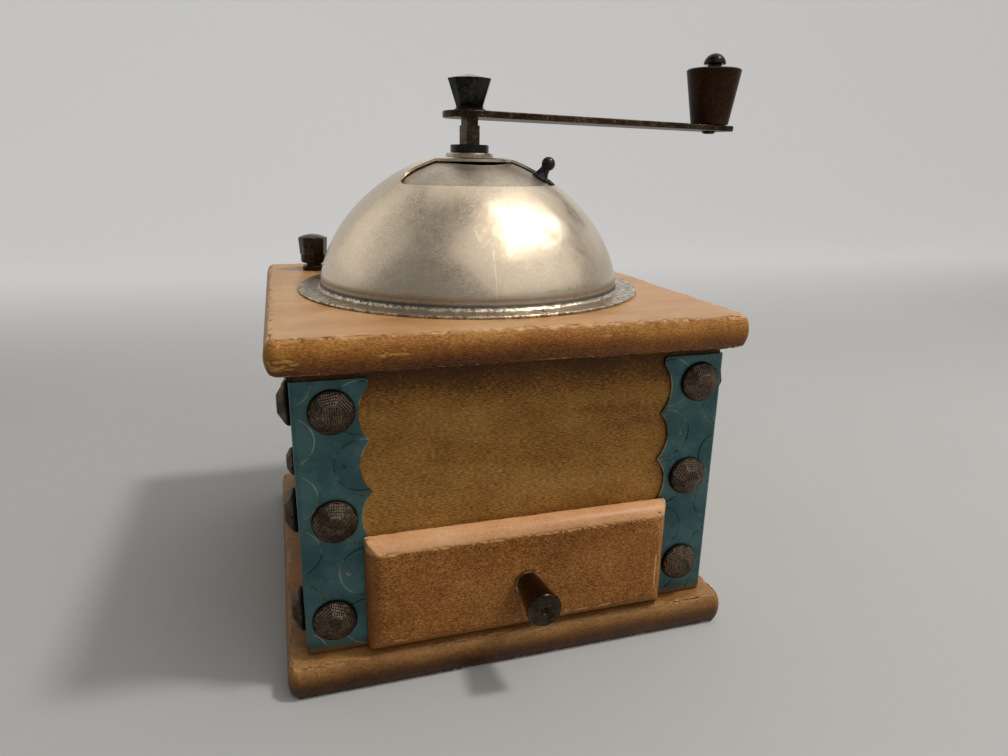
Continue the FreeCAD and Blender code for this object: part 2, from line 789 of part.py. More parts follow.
def dome_inside(t, depth):
    """Point at a depth under the dome's outer curve, and at the start straight inwards."""
    r, z = dome_point(t)
    if t < 1e-9:
        return r - depth, z
    a = dome_point(t - 1e-5)
    b = dome_point(t + 1e-5)
    dr = b[0] - a[0]
    dz = b[1] - a[1]
    n = math.hypot(dr, dz)
    return r - depth * dz / n, z + depth * dr / n


def curve_angle_at_r(radius):
    return math.acos((radius / FOOT_R) ** (DOME_POWER / 2))


def dome_curve(t0, t1, depth, count=16):
    """Smooth curve under the dome at a constant depth, between two angles."""
    points = []
    for i in range(count + 1):
        t = t0 + (t1 - t0) * i / count
        r, z = dome_inside(t, depth)
        points.append(V(r, 0, up(z)))
    curve = Part.BSplineCurve()
    curve.interpolate(points)
    return curve.toShape(), points[0], points[-1]


def plan_sector(r_in, r_out, a0, a1, z0, z1):
    """Upright prism over a ring sector in plan."""
    am = (a0 + a1) / 2
    edges = [
        Part.Arc(polar(r_out, a0, z0), polar(r_out, am, z0), polar(r_out, a1, z0)).toShape(),
        Part.makeLine(polar(r_out, a1, z0), polar(r_in, a1, z0)),
        Part.Arc(polar(r_in, a1, z0), polar(r_in, am, z0), polar(r_in, a0, z0)).toShape(),
        Part.makeLine(polar(r_in, a0, z0), polar(r_out, a0, z0)),
    ]
    return Part.Face(Part.Wire(edges)).extrude(V(0, 0, z1 - z0))


def window_cut():
    """Opening between the boss and an outer circle, cut off by a chord and with round ends."""
    low, high = up(DOME_TOP - DOME_RISE / 2), up(DOME_TOP + DOME_RISE / 4)
    turn = 90.0 + WINDOW_AT
    ring = rod(WINDOW_R_OUT, low, high)
    half = box(-WINDOW_R_OUT, WINDOW_R_OUT, -WINDOW_R_OUT, -WINDOW_CHORD, low, high)
    cut = turned(ring.common(half), turn)
    ends = []
    for edge in cut.Edges:
        b = edge.BoundBox
        if b.XLength < 1e-4 and b.YLength < 1e-4:
            ends.append(edge)
    cut = cut.makeFillet(WINDOW_ROUND, ends)
    return cut.cut(rod(WINDOW_R_IN, low - 1, high + 1))


def dome_blank():
    """Dome shell with flange, foot fillet and flat boss."""
    t1 = curve_angle_at_r(BOSS_R)
    t0 = 0.10
    outer, low_out, top_out = dome_curve(t0, t1, 0.0)
    inner, low_in, top_in = dome_curve(t0, t1, DOME_SHEET)
    flange_top = up(FLANGE_THICK)
    foot_out = V(FOOT_R + 0.95, 0, flange_top)
    foot_in = V(FOOT_R + 0.2, 0, H)
    mid_out = V(FOOT_R + 0.16, 0, up(1.75))
    mid_in = V(FOOT_R - 0.55, 0, up(0.85))
    bore = BUSH_R + SNUG
    edges = [
        outer,
        Part.makeLine(top_out, V(bore, 0, top_out.z)),
        Part.makeLine(V(bore, 0, top_out.z), V(bore, 0, top_out.z - DOME_SHEET)),
        Part.makeLine(V(bore, 0, top_out.z - DOME_SHEET), V(top_in.x, 0, top_out.z - DOME_SHEET)),
        Part.makeLine(V(top_in.x, 0, top_out.z - DOME_SHEET), top_in),
        inner,
        Part.Arc(low_in, mid_in, foot_in).toShape(),
        Part.makeLine(foot_in, V(FLANGE_R, 0, H)),
        Part.Arc(V(FLANGE_R, 0, H), V(FLANGE_R + 0.25, 0, up(FLANGE_THICK / 2)),
                 V(FLANGE_R, 0, flange_top)).toShape(),
        Part.makeLine(V(FLANGE_R, 0, flange_top), foot_out),
        Part.Arc(foot_out, mid_out, low_out).toShape(),
    ]
    keep = [e for e in edges if e.Length > 1e-6]
    return spin_edges(Part.__sortEdges__(keep))


def slot_shape(z0, z1, grow=0.0):
    """Radial slot with a short bar across each end."""
    half = SLOT_WIDE / 2 + grow
    bar = SLOT_BAR / 2 + grow
    stem = box(SLOT_R_IN, SLOT_R_OUT, -half, half, z0, z1)
    near = box(SLOT_R_IN - grow, SLOT_R_IN + SLOT_BAR_LONG + grow, -bar, bar, z0, z1)
    far = box(SLOT_R_OUT - SLOT_BAR_LONG - grow, SLOT_R_OUT + grow, -bar, bar, z0, z1)
    return join([stem, near, far])


def hopper_dome():
    solid = dome_blank().cut(window_cut())
    slot = slot_shape(H - 1, up(FLANGE_THICK + 1))
    for k in range(SLOTS):
        solid = solid.cut(turned(slot, SLOT_AT + 360.0 / SLOTS * k))
    return solid


def flange_pin_list(grow=0.0):
    """Flat pins through the flange slots into the board."""
    pins = []
    stem = SLOT_WIDE / 2 - 0.1 + grow
    near = SLOT_R_IN + SLOT_BAR_LONG + FLANGE_PIN_GAP - grow
    far = SLOT_R_OUT - SLOT_BAR_LONG - FLANGE_PIN_GAP + grow
    blade = box(near, far, -stem, stem, H - FLANGE_PIN_DEEP - grow, up(FLANGE_THICK - 0.35))
    for k in range(SLOTS):
        pins.append(turned(blade, SLOT_AT + 360.0 / SLOTS * k))
    return pins


def flange_pins():
    return group(flange_pin_list())


def hopper_door():
    depth = DOME_SHEET + DOOR_GAP
    t1 = curve_angle_at_r(BOSS_R)
    t0 = curve_angle_at_r(WINDOW_R_OUT + DOOR_LAP_OUT)
    outer, low_out, top_out = dome_curve(t0, t1, depth, 10)
    inner, low_in, top_in = dome_curve(t0, t1, depth + DOOR_SHEET, 10)
    edges = [outer, Part.makeLine(top_out, top_in), inner, Part.makeLine(low_in, low_out)]
    half = WINDOW_HALF + DOOR_LAP
    middle = WINDOW_AT
    shell = spin_edges(Part.__sortEdges__(edges), 2 * half)
    shell = turned(shell, middle - half)
    notch_at = polar(DOOR_NOTCH_AT, middle)
    notch = rod(DOOR_NOTCH_R, up(DOME_TOP - DOME_RISE / 2), up(DOME_TOP + 5), notch_at.x, notch_at.y)
    shell = shell.cut(notch)
    riser_out = top_out.x
    riser_in = riser_out - DOOR_SHEET
    shoulder = notch_edge_angle(riser_in)
    parts = [shell]
    for a0, a1 in ((middle - half, middle - shoulder), (middle + shoulder, middle + half)):
        wall = plan_sector(riser_in, riser_out, a0, a1, up(HUB_Z), top_in.z + 0.3)
        parts.append(wall)
    hub = rod(riser_out, up(HUB_Z), up(HUB_Z + DOOR_SHEET))
    parts.append(hub)
    solid = join(parts)
    solid = solid.cut(rod(BUSH_R + 0.1, up(HUB_Z) - 2, up(HUB_Z + DOOR_SHEET) + 2))
    foot, normal = door_knob_axis()
    hole = rod_along(1.0 + SNUG, foot - normal * 3, normal, 6)
    return solid.cut(hole)


def notch_edge_angle(radius):
    """Half angle at which the door's notch leaves a circle about the axis."""
    c = DOOR_NOTCH_AT
    return math.degrees(math.acos((radius ** 2 + c ** 2 - DOOR_NOTCH_R ** 2) / (2 * radius * c)))


def door_knob_axis():
    """Foot of the ball knob on the door's outer face and the outward direction there."""
    t = curve_angle_at_r(DOOR_KNOB_R)
    depth = DOME_SHEET + DOOR_GAP
    r0, z0 = dome_inside(t, depth)
    r1, z1 = dome_inside(t, depth - 1.0)
    foot = polar(r0, DOOR_KNOB_AT, up(z0))
    tip = polar(r1, DOOR_KNOB_AT, up(z1))
    return foot, (tip - foot).normalize()


def door_knob():
    """Small knob: conical foot, neck, ball, and a riveted tail behind the door."""
    foot, normal = door_knob_axis()
    centre = DOME_SHEET + DOOR_GAP + DOOR_BALL_UP
    neck = centre - math.sqrt(DOOR_BALL_R ** 2 - DOOR_NECK_R ** 2)
    steps = [
        (1.0, -DOOR_SHEET - 0.5),
        (1.0, 0.15),
        (DOOR_FOOT_R, 0.15),
        (DOOR_FOOT_R, 0.5),
        ((DOOR_NECK_R + 0.35, neck / 2 + 0.2), (DOOR_NECK_R, neck)),
        ((DOOR_BALL_R, centre), (0, centre + DOOR_BALL_R)),
    ]
    solid = spin((0, -DOOR_SHEET - 0.5), steps)
    under = -DOOR_SHEET - 0.15
    tail = spin((0, under - 0.75), [(1.9, under - 0.75), (1.9, under), (0, under)])
    solid = join([solid, tail])
    solid.rotate(O, Y, math.degrees(math.acos(normal.z)))
    solid.rotate(O, Z, DOOR_KNOB_AT)
    solid.translate(foot)
    return solid


def top_bush():
    z = up(DOME_TOP)
    bore = JOURNAL_R + RUN
    steps = [
        (BUSH_FLANGE_R, z),
        (BUSH_FLANGE_R, z + BUSH_FLANGE - 0.4),
        (BUSH_FLANGE_R - 0.4, z + BUSH_FLANGE),
        (bore, z + BUSH_FLANGE),
        (bore, up(BUSH_LOW)),
        (BUSH_R, up(BUSH_LOW)),
        (BUSH_R, z),
    ]
    return spin((BUSH_R, z), steps)


def bush_nut():
    top = up(DOME_TOP - DOME_SHEET)
    nut = prism(NUT_FLATS / math.sqrt(3), 6, up(NUT_LOW), top, 12)
    return nut.cut(rod(BUSH_R + SNUG, up(NUT_LOW) - 1, top + 1))


def bush_retainer():
    return tube(RETAINER_R, BUSH_R + SNUG, up(RETAINER_LOW), up(RETAINER_TOP))


# Spindle, crank and handle

def spindle():
    collar = up(BUSH_LOW - 3)
    parts = [
        rod(LOWER_JOURNAL_R, SHAFT_END, BURR_IN_LOW - 0.5),
        rod(SHAFT_R, BURR_IN_LOW - 0.5, collar),
        rod(JOURNAL_R, collar, up(DISC_LOW)),
        square_bar(SQUARE, up(DISC_LOW), up(SQUARE_TOP)),
        square_bar(NECK, up(SQUARE_TOP), up(ARM_LOW)),
        square_bar(ARM_SQUARE, up(ARM_LOW), up(ARM_TOP)),
        rod(STUD_THREAD_R, up(ARM_TOP), up(CAP_TOP - 3)),
    ]
    solid = join(parts)
    solid.rotate(O, Z, ARM_TURN)
    return solid


def thrust_disc():
    steps = [
        (DISC_R - DISC_EDGE, up(DISC_LOW)),
        (DISC_R, up(DISC_LOW + DISC_EDGE)),
        (DISC_R, up(DISC_TOP - DISC_EDGE)),
        (DISC_R - DISC_EDGE, up(DISC_TOP)),
        (0, up(DISC_TOP)),
    ]
    solid = spin((0, up(DISC_LOW)), steps)
    hole = square_bar(SQUARE + 2 * SNUG, up(DISC_LOW) - 1, up(DISC_TOP) + 1)
    return solid.cut(turned(hole, ARM_TURN))


def arm_plan(z):
    """Plan of the arm: round eye, tapering bar, square end with rounded corners."""
    half = ARM_WIDE / 2
    tip = ARM_TIP_WIDE / 2
    end = CRANK_LONG + ARM_BEYOND
    soft = 1.5
    start_x = math.sqrt(EYE_R ** 2 - half ** 2)
    edges = [
        Part.Arc(V(start_x, half, z), V(-EYE_R, 0, z), V(start_x, -half, z)).toShape(),
        Part.makeLine(V(start_x, -half, z), V(end - soft, -tip, z)),
        Part.makeLine(V(end - soft, -tip, z), V(end, -tip + soft, z)),
        Part.makeLine(V(end, -tip + soft, z), V(end, tip - soft, z)),
        Part.makeLine(V(end, tip - soft, z), V(end - soft, tip, z)),
        Part.makeLine(V(end - soft, tip, z), V(start_x, half, z)),
    ]
    return Part.Face(Part.Wire(edges))


def crank_arm():
    solid = arm_plan(up(ARM_LOW)).extrude(V(0, 0, ARM_THICK))
    rims = []
    for edge in solid.Edges:
        b = edge.BoundBox
        if b.ZLength < 1e-4:
            rims.append(edge)
    solid = solid.makeFillet(0.45, rims)
    solid = solid.cut(square_bar(ARM_SQUARE + 2 * SNUG, up(ARM_LOW) - 1, up(ARM_TOP) + 1))
    solid = solid.cut(rod(PIN_R + SNUG, up(ARM_LOW) - 1, up(ARM_TOP) + 1, CRANK_LONG, 0))
    return turned(solid, ARM_TURN)


def arm_washer():
    return tube(WASHER_R, STUD_THREAD_R + SNUG, up(ARM_TOP), up(WASHER_TOP))


def cap_nut():
    low = WASHER_TOP + CAP_FOOT
    foot = tube(CAP_LOW_R + 0.15, STUD_THREAD_R + SNUG, up(WASHER_TOP), up(low))
    body = frustum(CAP_LOW_R + 0.1, up(low), CAP_TOP_R, up(CAP_TOP), CAP_FACETS)
    crown = frustum(CAP_TOP_R, up(CAP_TOP), 0.6, up(CAP_APEX), CAP_FACETS)
    solid = join([foot, body, crown])
    return solid.cut(rod(STUD_THREAD_R + SNUG, up(ARM_TOP), up(CAP_TOP - 2.8)))


def at_handle(shape):
    p = polar(CRANK_LONG, ARM_TURN)
    return moved(shape, V(p.x, p.y, 0))


def crank_handle():
    """Turned grip, wider at the top, with a crisp upper rim and a bore for the pin."""
    bore = PIN_R + PIN_RUN
    low = up(HANDLE_LOW)
    top = up(HANDLE_TOP)
    steps = [
        (HANDLE_LOW_R - 0.5, low),
        ((HANDLE_LOW_R - 0.1, low + 0.2), (HANDLE_LOW_R + 0.05, low + 0.6)),
        (HANDLE_MID_R, low + HANDLE_MID_UP),
        (HANDLE_TOP_R, top - HANDLE_RIM),
        (HANDLE_TOP_R - HANDLE_RIM, top),
        (bore, top),
    ]
    return at_handle(spin((bore, low), steps))


def handle_pin():
    """Fixed pin: riveted head under the arm, mushroom head over the handle."""
    head = up(ARM_LOW)
    low = up(BUTTON_LOW)
    top = up(BUTTON_TOP)
    parts = [
        spin((0, head - PIN_HEAD_HIGH), [
            (PIN_HEAD_R - 1.3, head - PIN_HEAD_HIGH),
            ((PIN_HEAD_R - 0.3, head - 0.6), (PIN_HEAD_R, head)),
            (0, head),
        ]),
        rod(PIN_R, head, low + 0.5),
        rod(PIN_COLLAR_R, up(HANDLE_TOP) + PIN_COLLAR_GAP, low + 0.5),
        spin((0, low), [
            (BUTTON_WIDE_R - BUTTON_EDGE, low),
            (BUTTON_WIDE_R, low + BUTTON_EDGE),
            cap(BUTTON_WIDE_R, low + BUTTON_EDGE, top),
        ]),
    ]
    return at_handle(join(parts))


# Rear corner knob

def corner_ring():
    """Base ring with the stud that carries the knob."""
    top = H + CORNER_RING
    steps = [
        (CORNER_RING_R - 0.2, H),
        ((CORNER_RING_R, H + CORNER_RING / 2), (CORNER_RING_R - 0.3, top)),
        (0, top),
    ]
    ring = spin((0, H), steps)
    stud_rod = rod(CORNER_PIN_R, H - CORNER_PIN_DEEP + 0.2, H + CORNER_PIN_UP)
    return moved(join([ring, stud_rod]), V(CORNER_X, CORNER_Y, 0))


def corner_knob():
    """Knob on the base ring: neck, round lower tier, groove, flaring facets, domed top."""
    low = H + CORNER_RING + SNUG
    tier = low + CORNER_NECK
    groove = H + CORNER_TIER_TOP
    facets = groove + CORNER_GROOVE
    top = H + CORNER_HIGH
    round_part = spin((0, low), [
        (CORNER_NECK_R, low),
        (CORNER_NECK_R, tier),
        (CORNER_TIER_R - 0.9, tier + 0.15),
        ((CORNER_TIER_R - 0.2, tier + 0.5), (CORNER_TIER_R, tier + 1.1)),
        (CORNER_TIER_R, groove),
        (CORNER_GROOVE_R, groove),
        (CORNER_GROOVE_R, facets),
        (0, facets),
    ])
    wide = CORNER_TOP_R + 1.0
    dome = spin((0, facets), [
        (wide, facets),
        (wide, H + CORNER_SHOULDER),
        cap(wide, H + CORNER_SHOULDER, top),
    ])
    faceted = frustum(CORNER_LOW_R, facets, CORNER_TOP_R, top, CORNER_SIDES).common(dome)
    solid = join([round_part, faceted])
    solid = solid.cut(rod(CORNER_PIN_R + SNUG, H, H + CORNER_PIN_UP + 0.2))
    return moved(solid, V(CORNER_X, CORNER_Y, 0))


# Mill inside the body

def mill_housing():
    top = BODY_TOP
    steps = [
        (HOLE_R, top),
        (HOUSE_FLANGE_R, top),
        (HOUSE_FLANGE_R, top - HOUSE_FLANGE),
        (HOLE_R + 1.5, top - HOUSE_FLANGE),
        (HOUSE_R, SEAT_TOP + 2.0),
        (HOUSE_R, HOUSE_LOW),
        (SEAT_R, HOUSE_LOW),
        (SEAT_R, SEAT_TOP),
        (THROAT_R, SEAT_TOP),
    ]
    solid = spin((THROAT_R, SEAT_TOP), steps)
    for p in house_screw_places():
        solid = solid.cut(rod(SCREW_R + SNUG, top - HOUSE_FLANGE - 1, top + 1, p.x, p.y))
    for s in (-1, 1):
        deep = HOUSE_LOW + BRIDGE_SCREW_DEEP
        bore = rod(SCREW_R - 0.3 + SNUG, HOUSE_LOW - 1, deep, s * BRIDGE_SCREW_AT, 0)
        solid = solid.cut(bore)
    return solid


def house_screws():
    screws = []
    under = BODY_TOP - HOUSE_FLANGE
    for p in house_screw_places():
        head = spin((0, under - 2.0), [((2.4, under - 1.4), (3.0, under)), (0, under)])
        shank = rod(SCREW_R, under - 0.5, H - 3.3)
        slot = box(-4, 4, -0.4, 0.4, under - 2.5, under - 1.1)
        screws.append(moved(join([head, shank]).cut(slot), p))
    return group(screws)


def outer_burr():
    steps = [
        (SEAT_R - SNUG, SEAT_TOP),
        (SEAT_R - SNUG, BURR_LOW),
        (BURR_OUT_LOW_R, BURR_LOW),
    ]
    solid = spin((BURR_OUT_TOP_R, SEAT_TOP), steps)
    high = SEAT_TOP - BURR_LOW
    lean = math.degrees(math.atan2(BURR_OUT_LOW_R - BURR_OUT_TOP_R, high))
    for k in range(20):
        groove = Part.makeBox(1.5, 1.5, 30, V(-0.75, -0.75, -15), Z)
        groove.rotate(O, Z, 45)
        groove.rotate(O, X, 12)
        groove.rotate(O, Y, -lean)
        groove.translate(V((BURR_OUT_TOP_R + BURR_OUT_LOW_R) / 2, 0, (SEAT_TOP + BURR_LOW) / 2))
        solid = solid.cut(turned(groove, 18.0 * k))
    return solid


def inner_burr():
    steps = [
        (BURR_IN_TOP_R, BURR_IN_TOP),
        (BURR_IN_LOW_R, BURR_IN_LOW + 2.5),
        (BURR_IN_LOW_R, BURR_IN_LOW),
        (SHAFT_R + SNUG, BURR_IN_LOW),
    ]
    solid = spin((SHAFT_R + SNUG, BURR_IN_TOP), steps)
    high = BURR_IN_TOP - BURR_IN_LOW - 2.5
    lean = math.degrees(math.atan2(BURR_IN_LOW_R - BURR_IN_TOP_R, high))
    for k in range(12):
        groove = Part.makeBox(2.4, 2.4, 40, V(-1.2, -1.2, -20), Z)
        groove.rotate(O, Z, 45)
        groove.rotate(O, X, -14)
        groove.rotate(O, Y, -lean)
        middle = (BURR_IN_TOP_R + BURR_IN_LOW_R) / 2
        groove.translate(V(middle + 0.5, 0, (BURR_IN_TOP + BURR_IN_LOW) / 2 + 1))
        solid = solid.cut(turned(groove, 30.0 * k))
    return solid


def bridge():
    """Bar across the housing's lower rim with a bored hub."""
    top = HOUSE_LOW
    low = top - BRIDGE_THICK
    bar = box(-HOUSE_R, HOUSE_R, -BRIDGE_WIDE / 2, BRIDGE_WIDE / 2, low, top)
    bar = bar.common(rod(HOUSE_R, low - 1, top + 1))
    hub = rod(HUB_R, HUB_LOW, top)
    solid = join([bar, hub]).cut(rod(SHAFT_R, HUB_LOW - 1, top + 1))
    for s in (-1, 1):
        solid = solid.cut(rod(SCREW_R - 0.3 + SNUG, low - 1, top + 1, s * BRIDGE_SCREW_AT, 0))
    return solid


def bridge_screws():
    screws = []
    under = HOUSE_LOW - BRIDGE_THICK
    for s in (-1, 1):
        head = rod(1.9, under - 1.6, under)
        shank = rod(SCREW_R - 0.3, under - 0.5, HOUSE_LOW + BRIDGE_SCREW_DEEP - 0.5)
        slot = box(-4, 4, -0.35, 0.35, under - 2.5, under - 0.8)
        screws.append(moved(join([head, shank]).cut(slot), V(s * BRIDGE_SCREW_AT, 0, 0)))
    return group(screws)


def thrust_pad():
    return rod(PAD_R, PAD_LOW + SNUG, PAD_TOP)


def adjusting_screw():
    """Thumb wheel with a fluted rim on a short screw that carries the thrust pad."""
    wheel = rod(WHEEL_R, WHEEL_LOW, WHEEL_TOP)
    for k in range(16):
        p = polar(WHEEL_R + 0.5, 22.5 * k)
        wheel = wheel.cut(rod(1.1, WHEEL_LOW - 1, WHEEL_TOP + 1, p.x, p.y))
    shank = rod(ADJUST_R, WHEEL_TOP - 1, PAD_LOW)
    slot = box(-5, 5, -0.5, 0.5, WHEEL_LOW - 1, WHEEL_LOW + 1)
    return join([wheel, shank]).cut(slot)


def around(shape, name):
    """The front right corner's shape carried to a named corner."""
    if name == "front_right":
        return shape
    if name == "front_left":
        return flipped_x(shape)
    if name == "back_right":
        return shape.mirror(O, Y)
    return flipped_x(shape).mirror(O, Y)


def build():
    nodes = {
        "base_board": base_board(),
        "base_screws": base_screws(),
        "top_board": top_board(),
        "front_panel": front_panel(),
        "back_panel": back_panel(),
        "left_panel": left_panel(),
        "right_panel": right_panel(),
        "drawer_guide_left": drawer_guide(-1),
        "drawer_guide_right": drawer_guide(1),
        "drawer_front": drawer_front(),
        "drawer_left_side": drawer_side(-1),
        "drawer_right_side": drawer_side(1),
        "drawer_back": drawer_back(),
        "drawer_bottom": drawer_bottom(),
        "drawer_knob": drawer_knob(),
        "drawer_knob_screw": drawer_knob_screw(),
        "hopper_dome": hopper_dome(),
        "flange_pins": flange_pins(),
        "hopper_door": hopper_door(),
        "door_knob": door_knob(),
        "top_bush": top_bush(),
        "bush_nut": bush_nut(),
        "bush_retainer": bush_retainer(),
        "spindle": spindle(),
        "thrust_disc": thrust_disc(),
        "crank_arm": crank_arm(),
        "arm_washer": arm_washer(),
        "cap_nut": cap_nut(),
        "crank_handle": crank_handle(),
        "handle_pin": handle_pin(),
        "corner_ring": corner_ring(),
        "corner_knob": corner_knob(),
        "mill_housing": mill_housing(),
        "house_screws": house_screws(),
        "outer_burr": outer_burr(),
        "inner_burr": inner_burr(),
        "bridge": bridge(),
        "bridge_screws": bridge_screws(),
        "thrust_pad": thrust_pad(),
        "adjusting_screw": adjusting_screw(),
    }
    for name in STUD_STRAY:
        nodes["plate_" + name] = around(corner_plate(name), name)
        nodes["studs_" + name] = around(corner_studs(name), name)
    return nodes


os.makedirs("parts", exist_ok=True)
for name, shape in build().items():
    shape.exportStep("parts/" + name + ".step")
    solids = shape.Solids
    b = shape.BoundBox
    size = (round(b.XLength, 2), round(b.YLength, 2), round(b.ZLength, 2))
    print(name, "solids", len(solids), "valid", shape.isValid(), "volume", round(shape.Volume, 1), size)
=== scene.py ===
# %% [markdown]
# A box coffee mill with a dome hopper, dressed in Blender
#
# The solids of the mill come ready made and packed. This lesson gives them their looks:
# stained and worn beech, a scratched nickel dome, blue-green corner plates with pressed
# rings, knurled studs, a browned crank with a dark turned grip. Pieces whose real
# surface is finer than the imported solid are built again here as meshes, in the same place.

import bisect
import json
import math
from functools import reduce

import bmesh
import bpy
from mathutils import Matrix, Vector, geometry, noise

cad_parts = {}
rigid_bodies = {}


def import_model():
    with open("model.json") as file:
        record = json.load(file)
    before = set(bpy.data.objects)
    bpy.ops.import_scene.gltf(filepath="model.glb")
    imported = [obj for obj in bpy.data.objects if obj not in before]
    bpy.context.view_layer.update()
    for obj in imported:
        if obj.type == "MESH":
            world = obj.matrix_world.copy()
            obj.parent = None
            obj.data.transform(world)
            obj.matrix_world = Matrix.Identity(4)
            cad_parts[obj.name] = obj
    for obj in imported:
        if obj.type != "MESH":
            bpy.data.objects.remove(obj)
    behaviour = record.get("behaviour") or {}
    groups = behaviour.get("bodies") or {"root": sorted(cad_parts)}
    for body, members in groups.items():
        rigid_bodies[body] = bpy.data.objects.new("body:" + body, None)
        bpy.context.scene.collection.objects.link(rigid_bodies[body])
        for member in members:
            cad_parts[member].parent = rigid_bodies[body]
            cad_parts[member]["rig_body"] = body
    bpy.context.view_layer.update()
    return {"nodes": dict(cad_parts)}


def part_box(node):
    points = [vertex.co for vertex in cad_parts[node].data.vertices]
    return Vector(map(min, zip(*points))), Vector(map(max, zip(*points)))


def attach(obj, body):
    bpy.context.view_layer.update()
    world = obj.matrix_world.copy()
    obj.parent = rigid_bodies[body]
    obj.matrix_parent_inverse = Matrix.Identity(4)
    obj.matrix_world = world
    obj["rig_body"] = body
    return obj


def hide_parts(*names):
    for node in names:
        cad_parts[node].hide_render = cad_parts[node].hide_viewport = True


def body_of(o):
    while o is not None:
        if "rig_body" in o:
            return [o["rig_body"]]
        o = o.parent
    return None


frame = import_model()
nodes = frame["nodes"]

# %% [markdown]
# The camera. Its place, its tilt and its lens were worked out from the corners of the two
# boards, the foot of the dome and the level of the crank in the photograph, so the render
# can be laid over it. Yaw turns to the right, pitch looks down, roll tips to the right.

# %% Camera at the photograph's angle
MM = 0.001
CAMERA_AT = Vector((-63.82, -246.77, 148.01)) * MM
YAW, PITCH, ROLL = (math.radians(a) for a in (17.449, 16.782, 1.0096))
FOCAL_PIXELS = 712.02
FRAME_PIXELS = 1008.0
SENSOR = 36.0
NEAREST = 0.01
FARTHEST = 20.0

forward = Vector((
    math.sin(YAW) * math.cos(PITCH), math.cos(YAW) * math.cos(PITCH), -math.sin(PITCH)))
level = Vector((math.cos(YAW), -math.sin(YAW), 0.0))
upright = level.cross(forward)
right = math.cos(ROLL) * level + math.sin(ROLL) * upright
above = math.cos(ROLL) * upright - math.sin(ROLL) * level
turn = Matrix((right, above, -forward)).transposed()


def new_object(name, data):
    """A new object in the scene."""
    made = bpy.data.objects.new(name, data)
    bpy.context.scene.collection.objects.link(made)
    return made


lens = bpy.data.cameras.new("photo_camera")
lens.lens = FOCAL_PIXELS / FRAME_PIXELS * SENSOR
lens.sensor_width = SENSOR
lens.clip_start = NEAREST
lens.clip_end = FARTHEST
camera = new_object("photo_camera", lens)
camera.matrix_world = Matrix.Translation(CAMERA_AT) @ turn.to_4x4()
bpy.context.scene.camera = camera
print("lens", round(lens.lens, 2), "mm")

# %% [markdown]
# Shader maths. A material is a graph of small sums. Writing each sum as a chain of nodes
# hides what it says, so one small class wraps a socket and lets plain Python signs add
# the nodes. Its high and low are the larger and the smaller of two, size drops the sign,
# and part is what is left after the whole number. The rest goes through one method, node().

# %% A socket that can be added, multiplied and compared
# The sockets by which the Mix node takes and gives colours.
MIX_AMOUNT, MIX_FIRST, MIX_SECOND, MIX_RESULT = 0, 6, 7, 2


def sign(operation, swapped=False):
    """A method that adds a maths node fed by the socket and by another socket or number."""
    def method(self, other=0.0):
        first, second = (other, self) if swapped else (self, other)
        return self.graph.node("ShaderNodeMath", {"operation": operation}, {0: first, 1: second})
    return method


class Sock:
    """The output of a shader node, usable in an expression."""

    def __init__(self, graph, socket):
        self.graph = graph
        self.socket = socket

    __add__ = sign("ADD")
    __radd__ = sign("ADD", swapped=True)
    __sub__ = sign("SUBTRACT")
    __rsub__ = sign("SUBTRACT", swapped=True)
    __mul__ = sign("MULTIPLY")
    __rmul__ = sign("MULTIPLY", swapped=True)
    __truediv__ = sign("DIVIDE")
    __pow__ = sign("POWER")
    high = sign("MAXIMUM")
    low = sign("MINIMUM")
    size = sign("ABSOLUTE")
    part = sign("FRACT")

    def swing(self, amount):
        """A noise about its middle value, from minus half to plus half of the amount."""
        return (self - 0.5) * amount


class Graph:
    """The nodes of a material or of a world."""

    def __init__(self, owner):
        owner.use_nodes = True
        self.tree = owner.node_tree

    def node(self, kind, settings=None, values=None, out=0):
        """Adds one node: its settings first, then the values or links of its sockets."""
        made = self.tree.nodes.new(kind)
        for key, value in (settings or {}).items():
            if key == "stops":
                ramp = made.color_ramp
                while len(ramp.elements) < len(value):
                    ramp.elements.new(0.5)
                for element, (position, colour) in zip(ramp.elements, value):
                    element.position = position
                    element.color = (*colour, 1.0)
            else:
                setattr(made, key, value)
        for key, value in (values or {}).items():
            if isinstance(value, Sock):
                self.tree.links.new(value.socket, made.inputs[key])
            else:
                made.inputs[key].default_value = value
        return Sock(self, made.outputs[out])

    def seen(self):
        """1 for what the eye, a mirror or a glass sees, and 0 for the light that it gives."""
        rays = ("Is Camera Ray", "Is Glossy Ray", "Is Transmission Ray")
        return reduce(Sock.high, [self.node("ShaderNodeLightPath", out=ray) for ray in rays])


